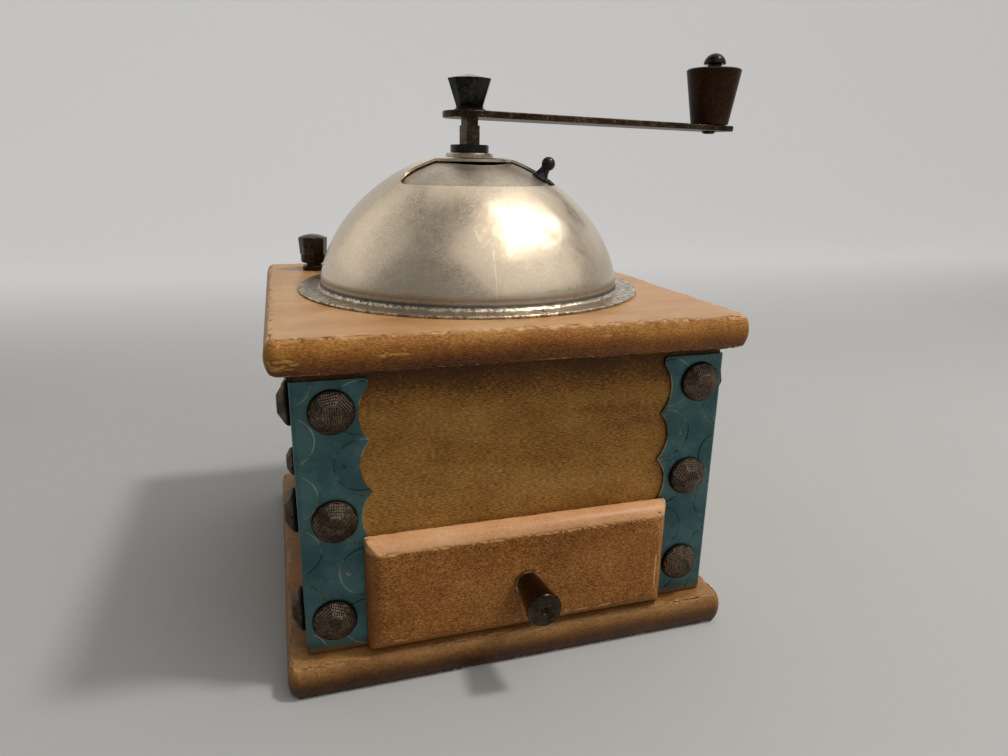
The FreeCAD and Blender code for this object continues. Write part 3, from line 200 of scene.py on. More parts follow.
class Finish(Graph):
    """A material in the making, with one Principled shader."""

    def __init__(self, name, **fixed):
        self.material = bpy.data.materials.new(name)
        super().__init__(self.material)
        self.shader = self.tree.nodes["Principled BSDF"]
        for socket, value in fixed.items():
            self.shader.inputs[socket.replace("_", " ")].default_value = value
        self.place = self.scaled(self.node("ShaderNodeTexCoord", out="Object"), 1 / MM)

    def attribute(self, name):
        """A number painted on the mesh's vertices."""
        return self.node("ShaderNodeAttribute", {
            "attribute_type": "GEOMETRY", "attribute_name": name}, out="Fac")

    def scaled(self, vector, by):
        by = (by, by, by) if isinstance(by, (int, float)) else by
        return self.node("ShaderNodeVectorMath", {"operation": "MULTIPLY"}, {0: vector, 1: by})

    def shifted(self, vector, by):
        return self.node("ShaderNodeVectorMath", {"operation": "ADD"}, {0: vector, 1: by})

    def turned(self, vector, degrees):
        radians = tuple(math.radians(a) for a in degrees)
        return self.node("ShaderNodeMapping", {}, {"Vector": vector, "Rotation": radians})

    def axis(self, vector, name):
        return self.node("ShaderNodeSeparateXYZ", {}, {"Vector": vector}, out=name)

    def at(self, name):
        """The coordinate of the point of the surface along X, Y or Z, in millimetres."""
        return self.axis(self.place, name)

    def noise(self, vector, detail=3.0, rough=0.55, bend=0.0):
        """Noise over any vector, its broadest waves one unit long."""
        return self.node("ShaderNodeTexNoise", {}, {
            "Vector": vector, "Scale": 1.0, "Detail": detail, "Roughness": rough,
            "Distortion": bend})

    def speckle(self, by, **look):
        """Noise over the piece, this many waves to a millimetre, or so many along each axis."""
        return self.noise(self.scaled(self.place, by), **look)

    def cells(self, vector, out="Distance"):
        return self.node(
            "ShaderNodeTexVoronoi", {"feature": "F1"}, {"Vector": vector, "Scale": 1.0}, out=out)

    def step(self, value, start, end):
        """0 before start, 1 after end, smooth between them. start may be the larger."""
        if start > end:
            return 1.0 - self.step(value, end, start)
        return self.node("ShaderNodeMapRange", {"interpolation_type": "SMOOTHSTEP"}, {
            "Value": value, "From Min": start, "From Max": end})

    def ramp(self, value, *stops):
        return self.node("ShaderNodeValToRGB", {"stops": stops}, {"Fac": value})

    def mix(self, amount, first, second):
        """The first colour where the amount is 0, the second where it is 1."""
        first = first if isinstance(first, Sock) else (*first, 1.0)
        second = second if isinstance(second, Sock) else (*second, 1.0)
        given = {MIX_AMOUNT: amount, MIX_FIRST: first, MIX_SECOND: second}
        return self.node("ShaderNodeMix", {"data_type": "RGBA"}, given, out=MIX_RESULT)

    def bump(self, height, millimetres, strength):
        """A normal tilted by the height, whose full swing is this many millimetres."""
        return self.node("ShaderNodeBump", {}, {
            "Height": height, "Distance": millimetres * MM, "Strength": strength})

    def wear(self, **links):
        """Puts what varies over the surface on the shader's own sockets."""
        for name, value in links.items():
            socket = self.shader.inputs[name.replace("_", " ")]
            if isinstance(value, Sock):
                self.tree.links.new(value.socket, socket)
            else:
                socket.default_value = value
        return self.material


print("shader maths ready")

# %% [markdown]
# Scratches and pits. Old metal and varnish carry hair scratches that run in loose bundles,
# and small dark pits. A hair scratch is where a stretched noise crosses its middle value;
# a pit is the heart of a few chosen Voronoi cells.

# %% Helpers for hair scratches and pits
def hairs(f, degrees, stretch=(0.02, 1.4, 1.4), width=0.012, amount=0.5, seed=0.0, patch=0.09):
    """Thin lines along one direction, only where a broad mask lets them."""
    moved = (seed, seed * 1.7, seed * 0.6)
    vector = f.shifted(f.scaled(f.turned(f.place, degrees), stretch), moved)
    from_middle = (f.noise(vector, detail=2.0) - 0.5).size()
    mask = f.noise(f.shifted(f.scaled(f.place, patch), (seed, 3.1, seed)), detail=2.0)
    open_from = 0.62 - 0.3 * amount
    open_full = 0.72 - 0.2 * amount
    return f.step(from_middle, width, 0.0) * f.step(mask, open_from, open_full)


def pits(f, spacing, radius, share=0.3, seed=0.0):
    """Round spots of about this radius, in a share of the cells, spacing in millimetres."""
    vector = f.shifted(f.scaled(f.place, 1.0 / spacing), (seed, seed, seed))
    near = f.cells(vector)
    chosen = f.axis(f.cells(vector, out="Color"), "X")
    spot = f.step(near, radius / spacing, 0.4 * radius / spacing)
    return spot * f.step(chosen, share + 0.02, share - 0.02)


print("surface helpers ready")

# %% [markdown]
# Stained wood. The boards are a close-grained hardwood, probably beech: an orange-brown
# stain with soft broad gradients, over a fine grit of short dark pores and golden flecks
# that the stain brings out. The grain shows only as a slight stretch of that grit. The
# varnish is worn through to pale wood along the arrises, and scratched on the flat faces.
# One function makes every stained piece; its arguments are the tones, the way the grain
# runs, and where the wear and the pale faces are.

# %% The stained wood finish
TONE_STOPS = (0.24, 0.44, 0.60, 0.82)
BAND = (0.02, 0.11)
FIBRE = (0.30, 0.9)
TEAR = (0.6, 1.3)
GRIT_SWING = 1.3
FACE_GRIT_SWING = 0.45
FACE_SHARE = 0.95
GOUGE_Y = -66.0
GOUGE_DEEP = 6.0


def along_grain(axis, long, across):
    """Noise scale per millimetre, coarse along the grain's axis and fine across it."""
    return tuple(long if name == axis else across for name in "XYZ")


def gouged(f, gouges):
    """1 inside the gouges of a front edge, each an oval of (x, z, half length, half height)."""
    x, y, z = (f.at(name) for name in "XYZ")
    ragged = f.speckle((0.5, 0.5, 1.6), detail=3.0, rough=0.7).swing(1.6)
    cuts = []
    for at_x, at_z, long, high in gouges:
        across = (x - at_x) / long
        up = (z - at_z) / high
        cuts.append(f.step(across * across + up * up + ragged, 1.0, 0.6))
    return reduce(Sock.high, cuts) * f.step(y, GOUGE_Y + 1.0, GOUGE_Y)


def stained_wood(name, grain, tones, bare, contrast=1.0, pore=(1.3, 2.3), rough=0.45, coat=0.08,
                 shine=0.2, lift=None, worn=False, face=None, gouges=()):
    """A stained wood, its tones from the pores to the flecks, bare under the varnish.

    contrast and pore are the strength of the grit and its scale along and across the grain.
    lift changes the tone from place to place; here it paints light on the upper part of the board edges
    and shadow under the top board. A worn piece shows bare wood where its points sank. face is the
    (mask, tones) of a paler face, on the drawer's rounding partly a painted highlight, and gouges are
    torn out of the front."""
    f = Finish(name, Coat_Roughness=0.30, Specular_IOR_Level=shine)
    band = f.speckle(along_grain(grain, *BAND), detail=3.0, bend=0.5)
    fibre = f.speckle(along_grain(grain, *FIBRE), detail=4.0, rough=0.65)
    grit = f.speckle(along_grain(grain, *pore), detail=3.0, rough=0.65)
    patch = f.speckle(0.06, detail=4.0, rough=0.6)

    soft_tone = band.swing(0.30) + fibre.swing(0.22) + patch.swing(0.36) + 0.5
    if lift is not None:
        soft_tone = soft_tone + lift(f)
    colour = f.ramp(soft_tone + grit.swing(GRIT_SWING * contrast), *zip(TONE_STOPS, tones))
    scratch = hairs(f, (12, 31, 24), width=0.008, amount=0.40, seed=4.0)
    cross = hairs(f, (0, 8, 112), stretch=(0.03, 1.1, 1.1), width=0.007, amount=0.35, seed=8.0)
    scratch = scratch.high(cross)
    gloss = rough + grit.swing(0.30) + patch.swing(0.2) + scratch * 0.15

    if face is not None:
        mask, face_tones = face
        flat = mask(f, grit)
        pale_tone = soft_tone + grit.swing(FACE_GRIT_SWING * contrast)
        colour = f.mix(flat * FACE_SHARE, colour, f.ramp(pale_tone, *zip(TONE_STOPS, face_tones)))
        gloss = gloss - flat * 0.04

    colour = f.mix(scratch * 0.35, colour, bare)
    nick = pits(f, 7.0, 0.45, share=0.12, seed=2.0)
    colour = f.mix(nick * 0.6, colour, bare)
    height = fibre * 0.2 + grit * 0.5 - scratch * 0.5 - nick

    if worn:
        torn = f.speckle(along_grain(grain, *TEAR), detail=4.0, rough=0.75)
        rubbed = f.step(f.attribute("worn") + torn.swing(1.5), 0.42, 0.80)
        rim = f.step(torn, 0.35, 0.7)
        colour = f.mix(rubbed * 0.9, colour, f.mix(rim, tones[3], bare))
        gloss = gloss + rubbed * 0.04
        height = height - rubbed * 0.4

    if gouges:
        cut = gouged(f, gouges)
        splinter = f.step(fibre, 0.42, 0.54)
        colour = f.mix(cut, colour, f.mix(splinter, tones[1], tones[3]))
        height = height - cut * GOUGE_DEEP

    return f.wear(Base_Color=colour, Roughness=gloss, Coat_Weight=coat,
                  Normal=f.bump(height, 0.06, 0.7))


print("wood finish ready")

# %% [markdown]
# The pieces of wood. The boards are orange-brown, with a paler, glossier upper face. The
# panels are more olive, the drawer front redder, and the grain of all of them runs across
# the front. The inside is plain and unstained. The grip is a dark, glossy, reddish turning.

# %% Wooden materials
TOP_FACE_Z = 105.9
DRAWER_TOP_Z = 43.2
# The heights over which the panels' painted shadow under the top board fades.
BOARD_SHADOW_Z = (80.0, 94.0)


def upper_face(f, grit):
    """The upper face, down to its arris."""
    return f.step(f.at("Z") + grit.swing(0.6), TOP_FACE_Z - 1.0, TOP_FACE_Z - 0.5)


def drawer_round_worn_and_lit(f, grit):
    """The rounding along the drawer front's upper edge, pale partly with wear and partly with a painted
    highlight.
    """
    return f.step(f.at("Z") + grit.swing(0.8), DRAWER_TOP_Z - 0.5, DRAWER_TOP_Z + 0.5)


def painted_upper_light(low, high, amount):
    """Painted light: the tone lifts from the lower to the upper part of an edge, as light from above
    falls on it.
    """
    return lambda f: (f.step(f.at("Z"), low, high) - 0.45) * amount


def painted_board_shadow(f):
    """Painted shadow: the panels are darker right under the top board, where its overhang shades them.
    """
    return f.step(f.at("Z"), *BOARD_SHADOW_Z) * -0.30


TOP_TONES = ((0.060, 0.016, 0.002), (0.270, 0.086, 0.012), (0.45, 0.170, 0.026), (0.74, 0.37, 0.085))
FACE_TONES = ((0.24, 0.09, 0.028), (0.47, 0.205, 0.068), (0.57, 0.285, 0.112), (0.72, 0.45, 0.22))
# The base board's tones are darker than the top board's: partly a darker wood and partly painted shade
# on its front edge, which faces down, away from the light.
BASE_WOOD_AND_SHADE_TONES = ((0.040, 0.013, 0.003), (0.150, 0.058, 0.013), (0.27, 0.118, 0.030), (0.50, 0.26, 0.09))
PANEL_TONES = ((0.11, 0.044, 0.007), (0.37, 0.165, 0.032), (0.52, 0.265, 0.062), (0.74, 0.45, 0.15))
DRAWER_TONES = ((0.12, 0.034, 0.005), (0.38, 0.136, 0.027), (0.54, 0.225, 0.053), (0.82, 0.44, 0.14))
# The drawer's upper rounding: pale partly with wear and partly with a painted highlight.
ROUND_WORN_AND_LIT_TONES = ((0.52, 0.22, 0.08), (0.82, 0.42, 0.19), (0.93, 0.54, 0.28), (0.97, 0.68, 0.41))
INNER_TONES = ((0.36, 0.22, 0.10), (0.50, 0.34, 0.18), (0.60, 0.44, 0.26), (0.70, 0.55, 0.36))
GRIP_TONES = ((0.006, 0.002, 0.001), (0.024, 0.009, 0.004), (0.060, 0.022, 0.008), (0.14, 0.060, 0.022))
TOP_GOUGES = (
    (-66.0, 99.4, 5.0, 1.9),
    (-40.4, 100.9, 1.3, 1.2),
    (-36.6, 100.6, 3.2, 0.5),
    (22.0, 102.3, 2.6, 0.4),
)

# The pale bare wood along the top board's worn arrises is partly real wear and partly a painted
# highlight on the rounded arris.
top_wood = stained_wood(
    "top_board_wood", "X", TOP_TONES, bare=(0.86, 0.56, 0.32), contrast=0.72, pore=(1.1, 3.2),
    shine=0.3, lift=painted_upper_light(96.5, 104.5, 0.30), worn=True, face=(upper_face, FACE_TONES),
    gouges=TOP_GOUGES)
base_wood = stained_wood(
    "base_board_wood", "X", BASE_WOOD_AND_SHADE_TONES, bare=(0.60, 0.34, 0.15), contrast=0.45, shine=0.3,
    lift=painted_upper_light(2.5, 9.5, 0.40), worn=True)
panel_look = dict(
    tones=PANEL_TONES, bare=(0.55, 0.37, 0.17), contrast=0.95, pore=(0.8, 3.4), rough=0.50,
    coat=0.05, lift=painted_board_shadow)
panel_wood = stained_wood("panel_wood", "X", **panel_look)
side_wood = stained_wood("side_panel_wood", "Y", **panel_look)
drawer_wood = stained_wood(
    "drawer_front_wood", "X", DRAWER_TONES, bare=(0.80, 0.46, 0.22), contrast=1.05, pore=(1.6, 2.9),
    worn=True, face=(drawer_round_worn_and_lit, ROUND_WORN_AND_LIT_TONES))
inner_wood = stained_wood(
    "inner_wood", "Y", INNER_TONES, bare=(0.7, 0.55, 0.36), contrast=0.4, rough=0.62, coat=0.0)
grip_wood = stained_wood(
    "grip_wood", "Z", GRIP_TONES, bare=(0.16, 0.08, 0.035), contrast=0.7, rough=0.36, coat=0.02,
    shine=0.1)
woods = (top_wood, base_wood, panel_wood, side_wood, drawer_wood, inner_wood, grip_wood)
print("woods:", [m.name for m in woods])

# %% [markdown]
# Worn boards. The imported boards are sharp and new. Real ones have had their arrises
# knocked for decades: the corner line wanders, has flats and small chips. A copy of the
# solid is cut into fine strips by rows of planes, which leaves its form and its screw
# holes as they are, and then each point near an arris sinks a little, by a noise. How
# far it sank is kept on the point, and the wood's shader reads it to show bare wood.

# %% Helpers that slice a solid and sink its points
MERGE = 1e-6


def cut_rows(bm, axis, places, faces):
    """Cuts these faces by a plane at each place, each face only by the planes that cross it."""
    crossed = [[] for place in places]

    def file_away(face):
        values = [v.co[axis] for v in face.verts]
        i = bisect.bisect_right(places, min(values) + MERGE)
        if i < len(places) and places[i] < max(values) - MERGE:
            crossed[i].append(face)

    for face in faces:
        file_away(face)
    facing = Vector(float(i == axis) for i in range(3))
    for i, at in enumerate(places):
        if crossed[i]:
            around = {part for f in crossed[i] for part in (*f.edges, *f.verts)}
            made = bmesh.ops.bisect_plane(
                bm, geom=crossed[i] + list(around), dist=MERGE,
                plane_co=facing * at, plane_no=facing)
            for part in made["geom"]:
                if isinstance(part, bmesh.types.BMFace):
                    file_away(part)


def sliced_copy(name, gap, rim=None, axes=(0, 1)):
    """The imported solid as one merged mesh, cut by planes this far apart.

    With a rim, only what lies within that many millimetres of the outline is cut."""
    bm = bmesh.new()
    bm.from_mesh(nodes[name].data)
    bmesh.ops.remove_doubles(bm, verts=bm.verts, dist=MERGE)
    low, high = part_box(name)

    def near_outline(face):
        middle = face.calc_center_median()
        return min(min(middle[i] - low[i], high[i] - middle[i]) for i in (0, 1)) < rim * MM

    if rim is not None:
        for axis in (0, 1):
            cut_rows(bm, axis, [low[axis] + rim * MM, high[axis] - rim * MM], bm.faces[:])
    for axis in axes:
        rows = round((high[axis] - low[axis]) / (gap * MM))
        places = [low[axis] + (high[axis] - low[axis]) * i / rows for i in range(1, rows)]
        cut_rows(bm, axis, places, [f for f in bm.faces if rim is None or near_outline(f)])
    bmesh.ops.triangulate(bm, faces=bm.faces[:])
    return bm


def soft_step(value, start, end):
    """0 at start, 1 at end, smooth between them."""
    t = min(1.0, max(0.0, (value - start) / (end - start)))
    return t * t * (3.0 - 2.0 * t)


def roughness_at(p, size, seed):
    """Fractal noise about 0, whose largest waves are this long in millimetres."""
    return noise.fractal(p / size + Vector((seed, seed, seed)), 0.8, 2.1, 4)


def sink(bm, wear_at, deepest=0.45):
    """Sinks each point by wear_at(place in millimetres), from 0 to 1, of the deepest."""
    bm.normal_update()
    worn = bm.verts.layers.float.new("worn")
    moves = []
    for v in bm.verts:
        v[worn] = wear_at(v.co / MM)
        moves.append((v, v.normal * v[worn] * deepest * MM))
    for v, move in moves:
        v.co -= move


def finished(bm, name, material, node_name, angle=35):
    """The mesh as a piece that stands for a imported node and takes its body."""
    mesh = bpy.data.meshes.new(name)
    bm.to_mesh(mesh)
    bm.free()
    mesh.materials.append(material)
    mesh.shade_smooth()
    mesh.set_sharp_from_angle(angle=math.radians(angle))
    made = new_object(name, mesh)
    hand_over(made, node_name)
    return made


def hand_over(piece, node_name):
    """The piece rides the node's body and stands for the node."""
    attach(piece, body_of(nodes[node_name])[0])
    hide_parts(node_name)


print("slicing and wear ready")

# %% [markdown]
# An arris of a board is the line where its bulged edge meets a flat face. The distance of
# a point from it comes from two numbers: how far the point lies inside the board's square
# outline with its round corners, and how far it lies above or below the face.

# %% The two boards, worn
BOARD_CORNER = 3.5
TOP_HALF = 70.0
TOP_INSET = 1.6
BASE_HALF = 70.5
BASE_INSET = 1.3
BASE_Z = (0.0, 10.3)
TOP_Z = (95.6, TOP_FACE_Z)
STRIP = 0.9
CUT_RIM = 5.0
WEAR_REACH = 2.4


def inside_outline(x, y, half, corner):
    """How far a place lies inside a square with round corners."""
    over = Vector((abs(x) - (half - corner), abs(y) - (half - corner)))
    out = Vector((max(over.x, 0.0), max(over.y, 0.0))).length
    return corner - out - min(max(over.x, over.y), 0.0)


def board_wear(half, inset, heights, seed, share):
    """Wear along a board's arrises. share is how much of them is worn, from 0 to 1.

    Waves of 11 and 1.9 mm decide where it is rubbed, more at the corners, and waves of 4 mm
    how far from the arris."""
    def wear_at(p):
        reach = inside_outline(p.x, p.y, half, BOARD_CORNER) - inset
        rise = min(abs(p.z - heights[0]), abs(p.z - heights[1]))
        near = math.hypot(reach, rise)
        if near > WEAR_REACH:
            return 0.0
        rub = 0.5 + 0.9 * roughness_at(p, 11.0, seed) + 0.9 * roughness_at(p, 1.9, seed + 7.0)
        rub += 0.35 * soft_step(abs(p.x) + abs(p.y), 2 * half - 16.0, 2 * half - 5.0)
        width = 1.25 + 1.1 * roughness_at(p, 4.0, seed + 3.0)
        return soft_step(near, max(width, 0.5), 0.1) * soft_step(rub, 1.0 - share, 1.5 - share)
    return wear_at


def worn_board(name, half, inset, heights, seed, share, material):
    bm = sliced_copy(name, STRIP, rim=CUT_RIM)
    sink(bm, board_wear(half, inset, heights, seed, share))
    return finished(bm, name + "_worn", material, name)


top_worn = worn_board(
    "top_board", TOP_HALF, TOP_INSET, TOP_Z, seed=3.0, share=0.80, material=top_wood)
base_worn = worn_board(
    "base_board", BASE_HALF, BASE_INSET, BASE_Z, seed=21.0, share=0.45, material=base_wood)
print("boards:", [(o.name, len(o.data.polygons)) for o in (top_worn, base_worn)])

# %% [markdown]
# The drawer front is rubbed where fingers push it. Its face meets four shallow roundings in thin
# arrises, and its upper rounding is the palest place of the whole front, partly from wear and partly
# from a painted highlight.

# %% The drawer front, worn
FACE_HALF = 43.4
FACE_Z = (14.8, 42.9)
FACE_Y = -70.5
DRAWER_HALF = 47.2
DRAWER_Z = (11.0, 46.7)
FACE_MARGIN = 1.5
FACE_DEEP = 2.0
DRAWER_SINK = 0.25


def drawer_wear(p):
    """Wear of the face's arrises, and half as much along the outer rim behind them."""
    side = abs(abs(p.x) - FACE_HALF)
    top = abs(p.z - FACE_Z[1])
    foot = abs(p.z - FACE_Z[0])
    upright = FACE_Z[0] - FACE_MARGIN < p.z < FACE_Z[1] + FACE_MARGIN
    within = upright and abs(p.x) < FACE_HALF + FACE_MARGIN
    if not within or p.y > FACE_Y + FACE_DEEP:
        rim = min(abs(p.z - DRAWER_Z[1]), abs(abs(p.x) - DRAWER_HALF))
        rub = 0.5 + roughness_at(p, 3.0, 5.0)
        return 0.5 * soft_step(rim, 1.0, 0.1) * soft_step(rub, 0.5, 1.0)
    near = min(side, top, foot)
    rub = 0.55 + 0.9 * roughness_at(p, 8.0, 1.0) + 0.8 * roughness_at(p, 1.6, 9.0)
    return soft_step(near, 0.95, 0.1) * soft_step(rub, 0.45, 0.95)


bm = sliced_copy("drawer_front", STRIP, axes=(0, 2))
sink(bm, drawer_wear, deepest=DRAWER_SINK)
drawer_worn = finished(bm, "drawer_front_worn", drawer_wood, "drawer_front")
print(drawer_worn.name, len(drawer_worn.data.polygons), "faces")

# %% [markdown]
# Nickel. The dome is a thin spinning with a satin, warm nickel skin. Age gives it a faint mottle, short
# hair scratches in every direction, and small dark pits where the plating broke. The flange at its foot
# is dirtier, and a dark line runs round the dome's foot just above it. A short bright line on its seam
# is a painted glint. The window door has the same skin.

# %% Nickel finish
FLANGE_TOP_Z = 107.6
SEAM_X = -4.8
SEAM_Y = (-30.0, -34.0)
BRIGHT_HAIR = (0.97, 0.90, 0.76)
GLINT = (0.95, 0.88, 0.74)
HAZE = (0.16, 0.13, 0.10)
SOOT = (0.085, 0.070, 0.052)
PIT = (0.05, 0.04, 0.03)
# Each set of scratches: the turn in degrees, the stretch, the width.
SCRATCH_SETS = (
    ((10, 20, 40), (0.15, 1.7, 1.7), 0.012),
    ((70, 8, 15), (0.18, 1.5, 1.5), 0.012),
    ((25, 60, 80), (0.03, 0.9, 0.9), 0.005),
    ((5, 75, 20), (0.20, 2.2, 2.2), 0.015),
    ((40, 35, 130), (0.15, 1.9, 1.9), 0.013),
)


def nickel(name, light, dark, rough, pit_share, dirt_and_seam_glint):
    """Old nickel plate. The last argument is 1 for a piece with a flange that gathers dirt, a dark line
    round its foot and a seam painted with a glint, else 0.
    """
    f = Finish(name, Metallic=1.0)
    mottle = f.speckle(0.06, detail=5.0, rough=0.62)
    cloud = f.speckle(0.55, detail=5.0, rough=0.72)
    fine = f.speckle(2.4, detail=2.0, rough=0.6)

    marks = reduce(Sock.high, [
        hairs(f, *one_set, amount=0.95, seed=3.7 * i + 1.0, patch=0.3)
        for i, one_set in enumerate(SCRATCH_SETS)])
    small = pits(f, 2.2, 0.22, share=pit_share, seed=3.0)
    large = pits(f, 6.5, 0.42, share=pit_share * 0.8, seed=9.0)
    specks = pits(f, 1.5, 0.19, share=pit_share, seed=14.0) * 0.6
    spots = small.high(large).high(specks) * f.step(mottle, 0.62, 0.45)

    above = f.at("Z") - FLANGE_TOP_Z
    soot = f.step(above, 0.9, 0.0) * dirt_and_seam_glint * f.step(cloud + fine.swing(0.7), 0.42, 0.58)
    creep = f.step(above, 5.0, -0.5) * f.step(cloud, 0.50, 0.68) * dirt_and_seam_glint * 0.6
    # A dark line round the dome's foot, just above the flange.
    foot = f.step(above, 1.3, 0.6) * f.step(above, -0.3, 0.2) * dirt_and_seam_glint
    haze = f.step(above, 4.0, 2.6) * f.step(above, -0.3, 0.4) * dirt_and_seam_glint
    # The seam: a short bright upright line on the dome's front, a painted glint.
    seam = f.step((f.at("X") - SEAM_X).size(), 0.24, 0.10) * f.step(f.at("Y"), *SEAM_Y)
    seam = seam * f.step(above, 20.0, 15.0) * f.step(above, 1.5, 3.0)
    seam = seam * f.step(cloud, 0.35, 0.55) * dirt_and_seam_glint

    colour = f.mix(f.step(mottle + cloud.swing(0.35), 0.30, 0.70), dark, light)
    colour = f.mix(marks * 0.7, colour, BRIGHT_HAIR)
    colour = f.mix(soot.high(creep) * 0.85, colour, SOOT)
    colour = f.mix(spots * 0.85, colour, PIT)
    colour = f.mix(haze * 0.45, colour, HAZE)
    colour = f.mix(foot * 0.8, colour, PIT)
    colour = f.mix(seam * 0.35, colour, GLINT)
    gloss = rough + mottle.swing(0.03) + fine.swing(0.04)
    gloss = gloss + soot * 0.2 + spots * 0.3 + haze * 0.25
    metal = 1.0 - (spots * 0.6).high(soot * 0.4)
    height = fine * 0.012 - marks * 0.3 - spots * 0.8
    return f.wear(Base_Color=colour, Roughness=gloss, Metallic=metal,
                  Normal=f.bump(height, 0.03, 0.8))


dome_metal = nickel(
    "dome_nickel", (0.73, 0.595, 0.43), (0.66, 0.535, 0.385), rough=0.24, pit_share=0.45, dirt_and_seam_glint=1.0)
door_metal = nickel(
    "door_nickel", (0.50, 0.41, 0.32), (0.33, 0.27, 0.21), rough=0.34, pit_share=0.35, dirt_and_seam_glint=0.0)
print("nickel:", dome_metal.name, door_metal.name)

# %% [markdown]
# The corner plates are thin sheet with a blue-green satin skin. The lines pressed in them are real, so
# the light finds their lips; the shader also paints shade into them, and bright stretches along them as
# painted glints. Only the scalloped cut edge is bare yellow metal: the shader works out how far a point
# lies from that edge, which is a row of round bites of one radius, one above the other. Low down the
# skin is rubbed brown.

# %% Corner plate finish
SCALLOP_LOW = 14.2
SCALLOP_PITCH = 15.3
SCALLOP_HIGH = 90.7
CUSP_AT = 44.2
SCALLOP_DEEP = 2.9
SCALLOP_R = ((SCALLOP_PITCH / 2) ** 2 + SCALLOP_DEEP ** 2) / (2 * SCALLOP_DEEP)
SCALLOP_CENTRE = CUSP_AT + SCALLOP_DEEP - SCALLOP_R
PLATE_FACE = 64.5
SKIN = ((0.030, 0.086, 0.090), (0.066, 0.158, 0.160))
BARE_EDGE = ((0.10, 0.075, 0.045), (0.42, 0.31, 0.16))
SKIN_HAIR = (0.22, 0.28, 0.25)
SKIN_FLECK = (0.35, 0.27, 0.15)
RUBBED_FOOT = (0.24, 0.135, 0.055)
LINE_SHADE = (0.012, 0.024, 0.024)
LINE_GLINT = (0.42, 0.43, 0.34)


def in_pressed_line(f):
    """1 in the lines pressed into a plate's faces, clear of its bend and of its cut edge."""
    x, y = f.at("X").size(), f.at("Y").size()
    deep = PLATE_FACE - x.high(y)
    from_bend = PLATE_FACE - x.low(y)
    return f.step(deep, 0.03, 0.09) * f.step(deep, 0.6, 0.4) * f.step(from_bend, 1.5, 1.9)


def from_scallops(f):
    """Millimetres from a plate's scalloped edge, on the sheet."""
    along = f.at("X").size().low(f.at("Y").size())
    z = f.at("Z")
    up = ((z - SCALLOP_LOW) / SCALLOP_PITCH).part() * SCALLOP_PITCH - SCALLOP_PITCH / 2
    out = along - SCALLOP_CENTRE
    bite = (out * out + up * up) ** 0.5 - SCALLOP_R
    straight = along - CUSP_AT
    in_row = f.step(z, SCALLOP_LOW - 0.01, SCALLOP_LOW)
    in_row = in_row * f.step(z, SCALLOP_HIGH + 0.01, SCALLOP_HIGH)
    return bite * in_row + straight * (1.0 - in_row)


def plate_finish():
    f = Finish("corner_plate_skin")
    tone = f.speckle(0.09, detail=4.0, rough=0.6)
    grit = f.speckle(1.8, detail=3.0, rough=0.7)
    scratch = hairs(f, (15, 50, 5), width=0.009, amount=0.4, seed=2.0)
    fleck = pits(f, 3.0, 0.20, share=0.22, seed=5.0)
    rub = f.step(f.at("Z") + grit.swing(3.0), 13.6, 11.4)
    bare = f.step(from_scallops(f) + grit.swing(0.40), 0.34, 0.14)
    line = in_pressed_line(f)
    # Bright stretches along the pressed lines: a painted glint.
    line_glint = line * f.step(tone + grit.swing(0.3), 0.40, 0.58)

    colour = f.mix(f.step(tone + grit.swing(0.35), 0.35, 0.65), *SKIN)
    colour = f.mix(scratch * 0.4, colour, SKIN_HAIR)
    colour = f.mix(fleck * 0.8, colour, SKIN_FLECK)
    colour = f.mix(rub * 0.75, colour, RUBBED_FOOT)
    colour = f.mix(bare, colour, f.mix(f.step(tone, 0.42, 0.58), *BARE_EDGE))
    # The pressed lines are painted darker: painted shade in the grooves.
    colour = f.mix(line * 0.6, colour, LINE_SHADE)
    colour = f.mix(line_glint * 0.8, colour, LINE_GLINT)
    gloss = 0.38 + grit.swing(0.2) + tone.swing(0.15) - bare * 0.08
    height = grit * 0.25 - scratch * 0.4
    return f.wear(Base_Color=colour, Roughness=gloss, Metallic=0.55 + bare * 0.4,
                  Normal=f.bump(height, 0.05, 0.6))


plate_skin = plate_finish()
print("made", plate_skin.name, "scallop radius", round(SCALLOP_R, 2))

# %% [markdown]
# Bronze, black, browned and bright metals. Each is a metal colour broken up by a fine
# grit and a broad stain, with its high places rubbed brighter. One function again, and a
# table of its arguments.

# %% Small metal finishes
GROOVE_NEAR_BLACK = (0.010, 0.008, 0.006)


def worked_metal(name, dark, light, rubbed, rough=0.34, grain=1.2, rub=0.5, depth=0.05, metal=1.0,
                 cut=None, ring=None):
    """A worked metal. cut names the attribute that is 0 in the grooves, which are painted near black,
    and ring is the band along Y of a collar with a painted highlight.
    """
    f = Finish(name, Metallic=metal)
    stain = f.speckle(0.16, detail=4.0, rough=0.6)
    grit = f.speckle(grain, detail=4.0, rough=0.72)
    colour = f.mix(f.step(stain * 0.5 + grit * 0.5, 0.38, 0.62), dark, light)
    bright = f.step(grit + stain.swing(0.4), 0.66 - 0.12 * rub, 0.78 - 0.12 * rub)
    scratch = hairs(f, (20, 35, 60), width=0.010, amount=0.5, seed=6.0)
    colour = f.mix(bright * rub, colour, rubbed)
    colour = f.mix(scratch * 0.5, colour, rubbed)
    gloss = rough + grit.swing(0.25) - bright * 0.06
    # A painted highlight round the collar, where its upper side catches the light.
    if ring is not None:
        colour = f.mix(f.step(f.at("Y"), *ring) * 0.8, colour, rubbed)
    # The grooves are painted near black.
    if cut is not None:
        proud = f.attribute(cut)
        colour = f.mix(proud, GROOVE_NEAR_BLACK, colour)
        gloss = gloss + (1.0 - proud) * 0.3
    height = grit * 0.4 - scratch * 0.4
    return f.wear(Base_Color=colour, Roughness=gloss, Normal=f.bump(height, depth, 0.6))


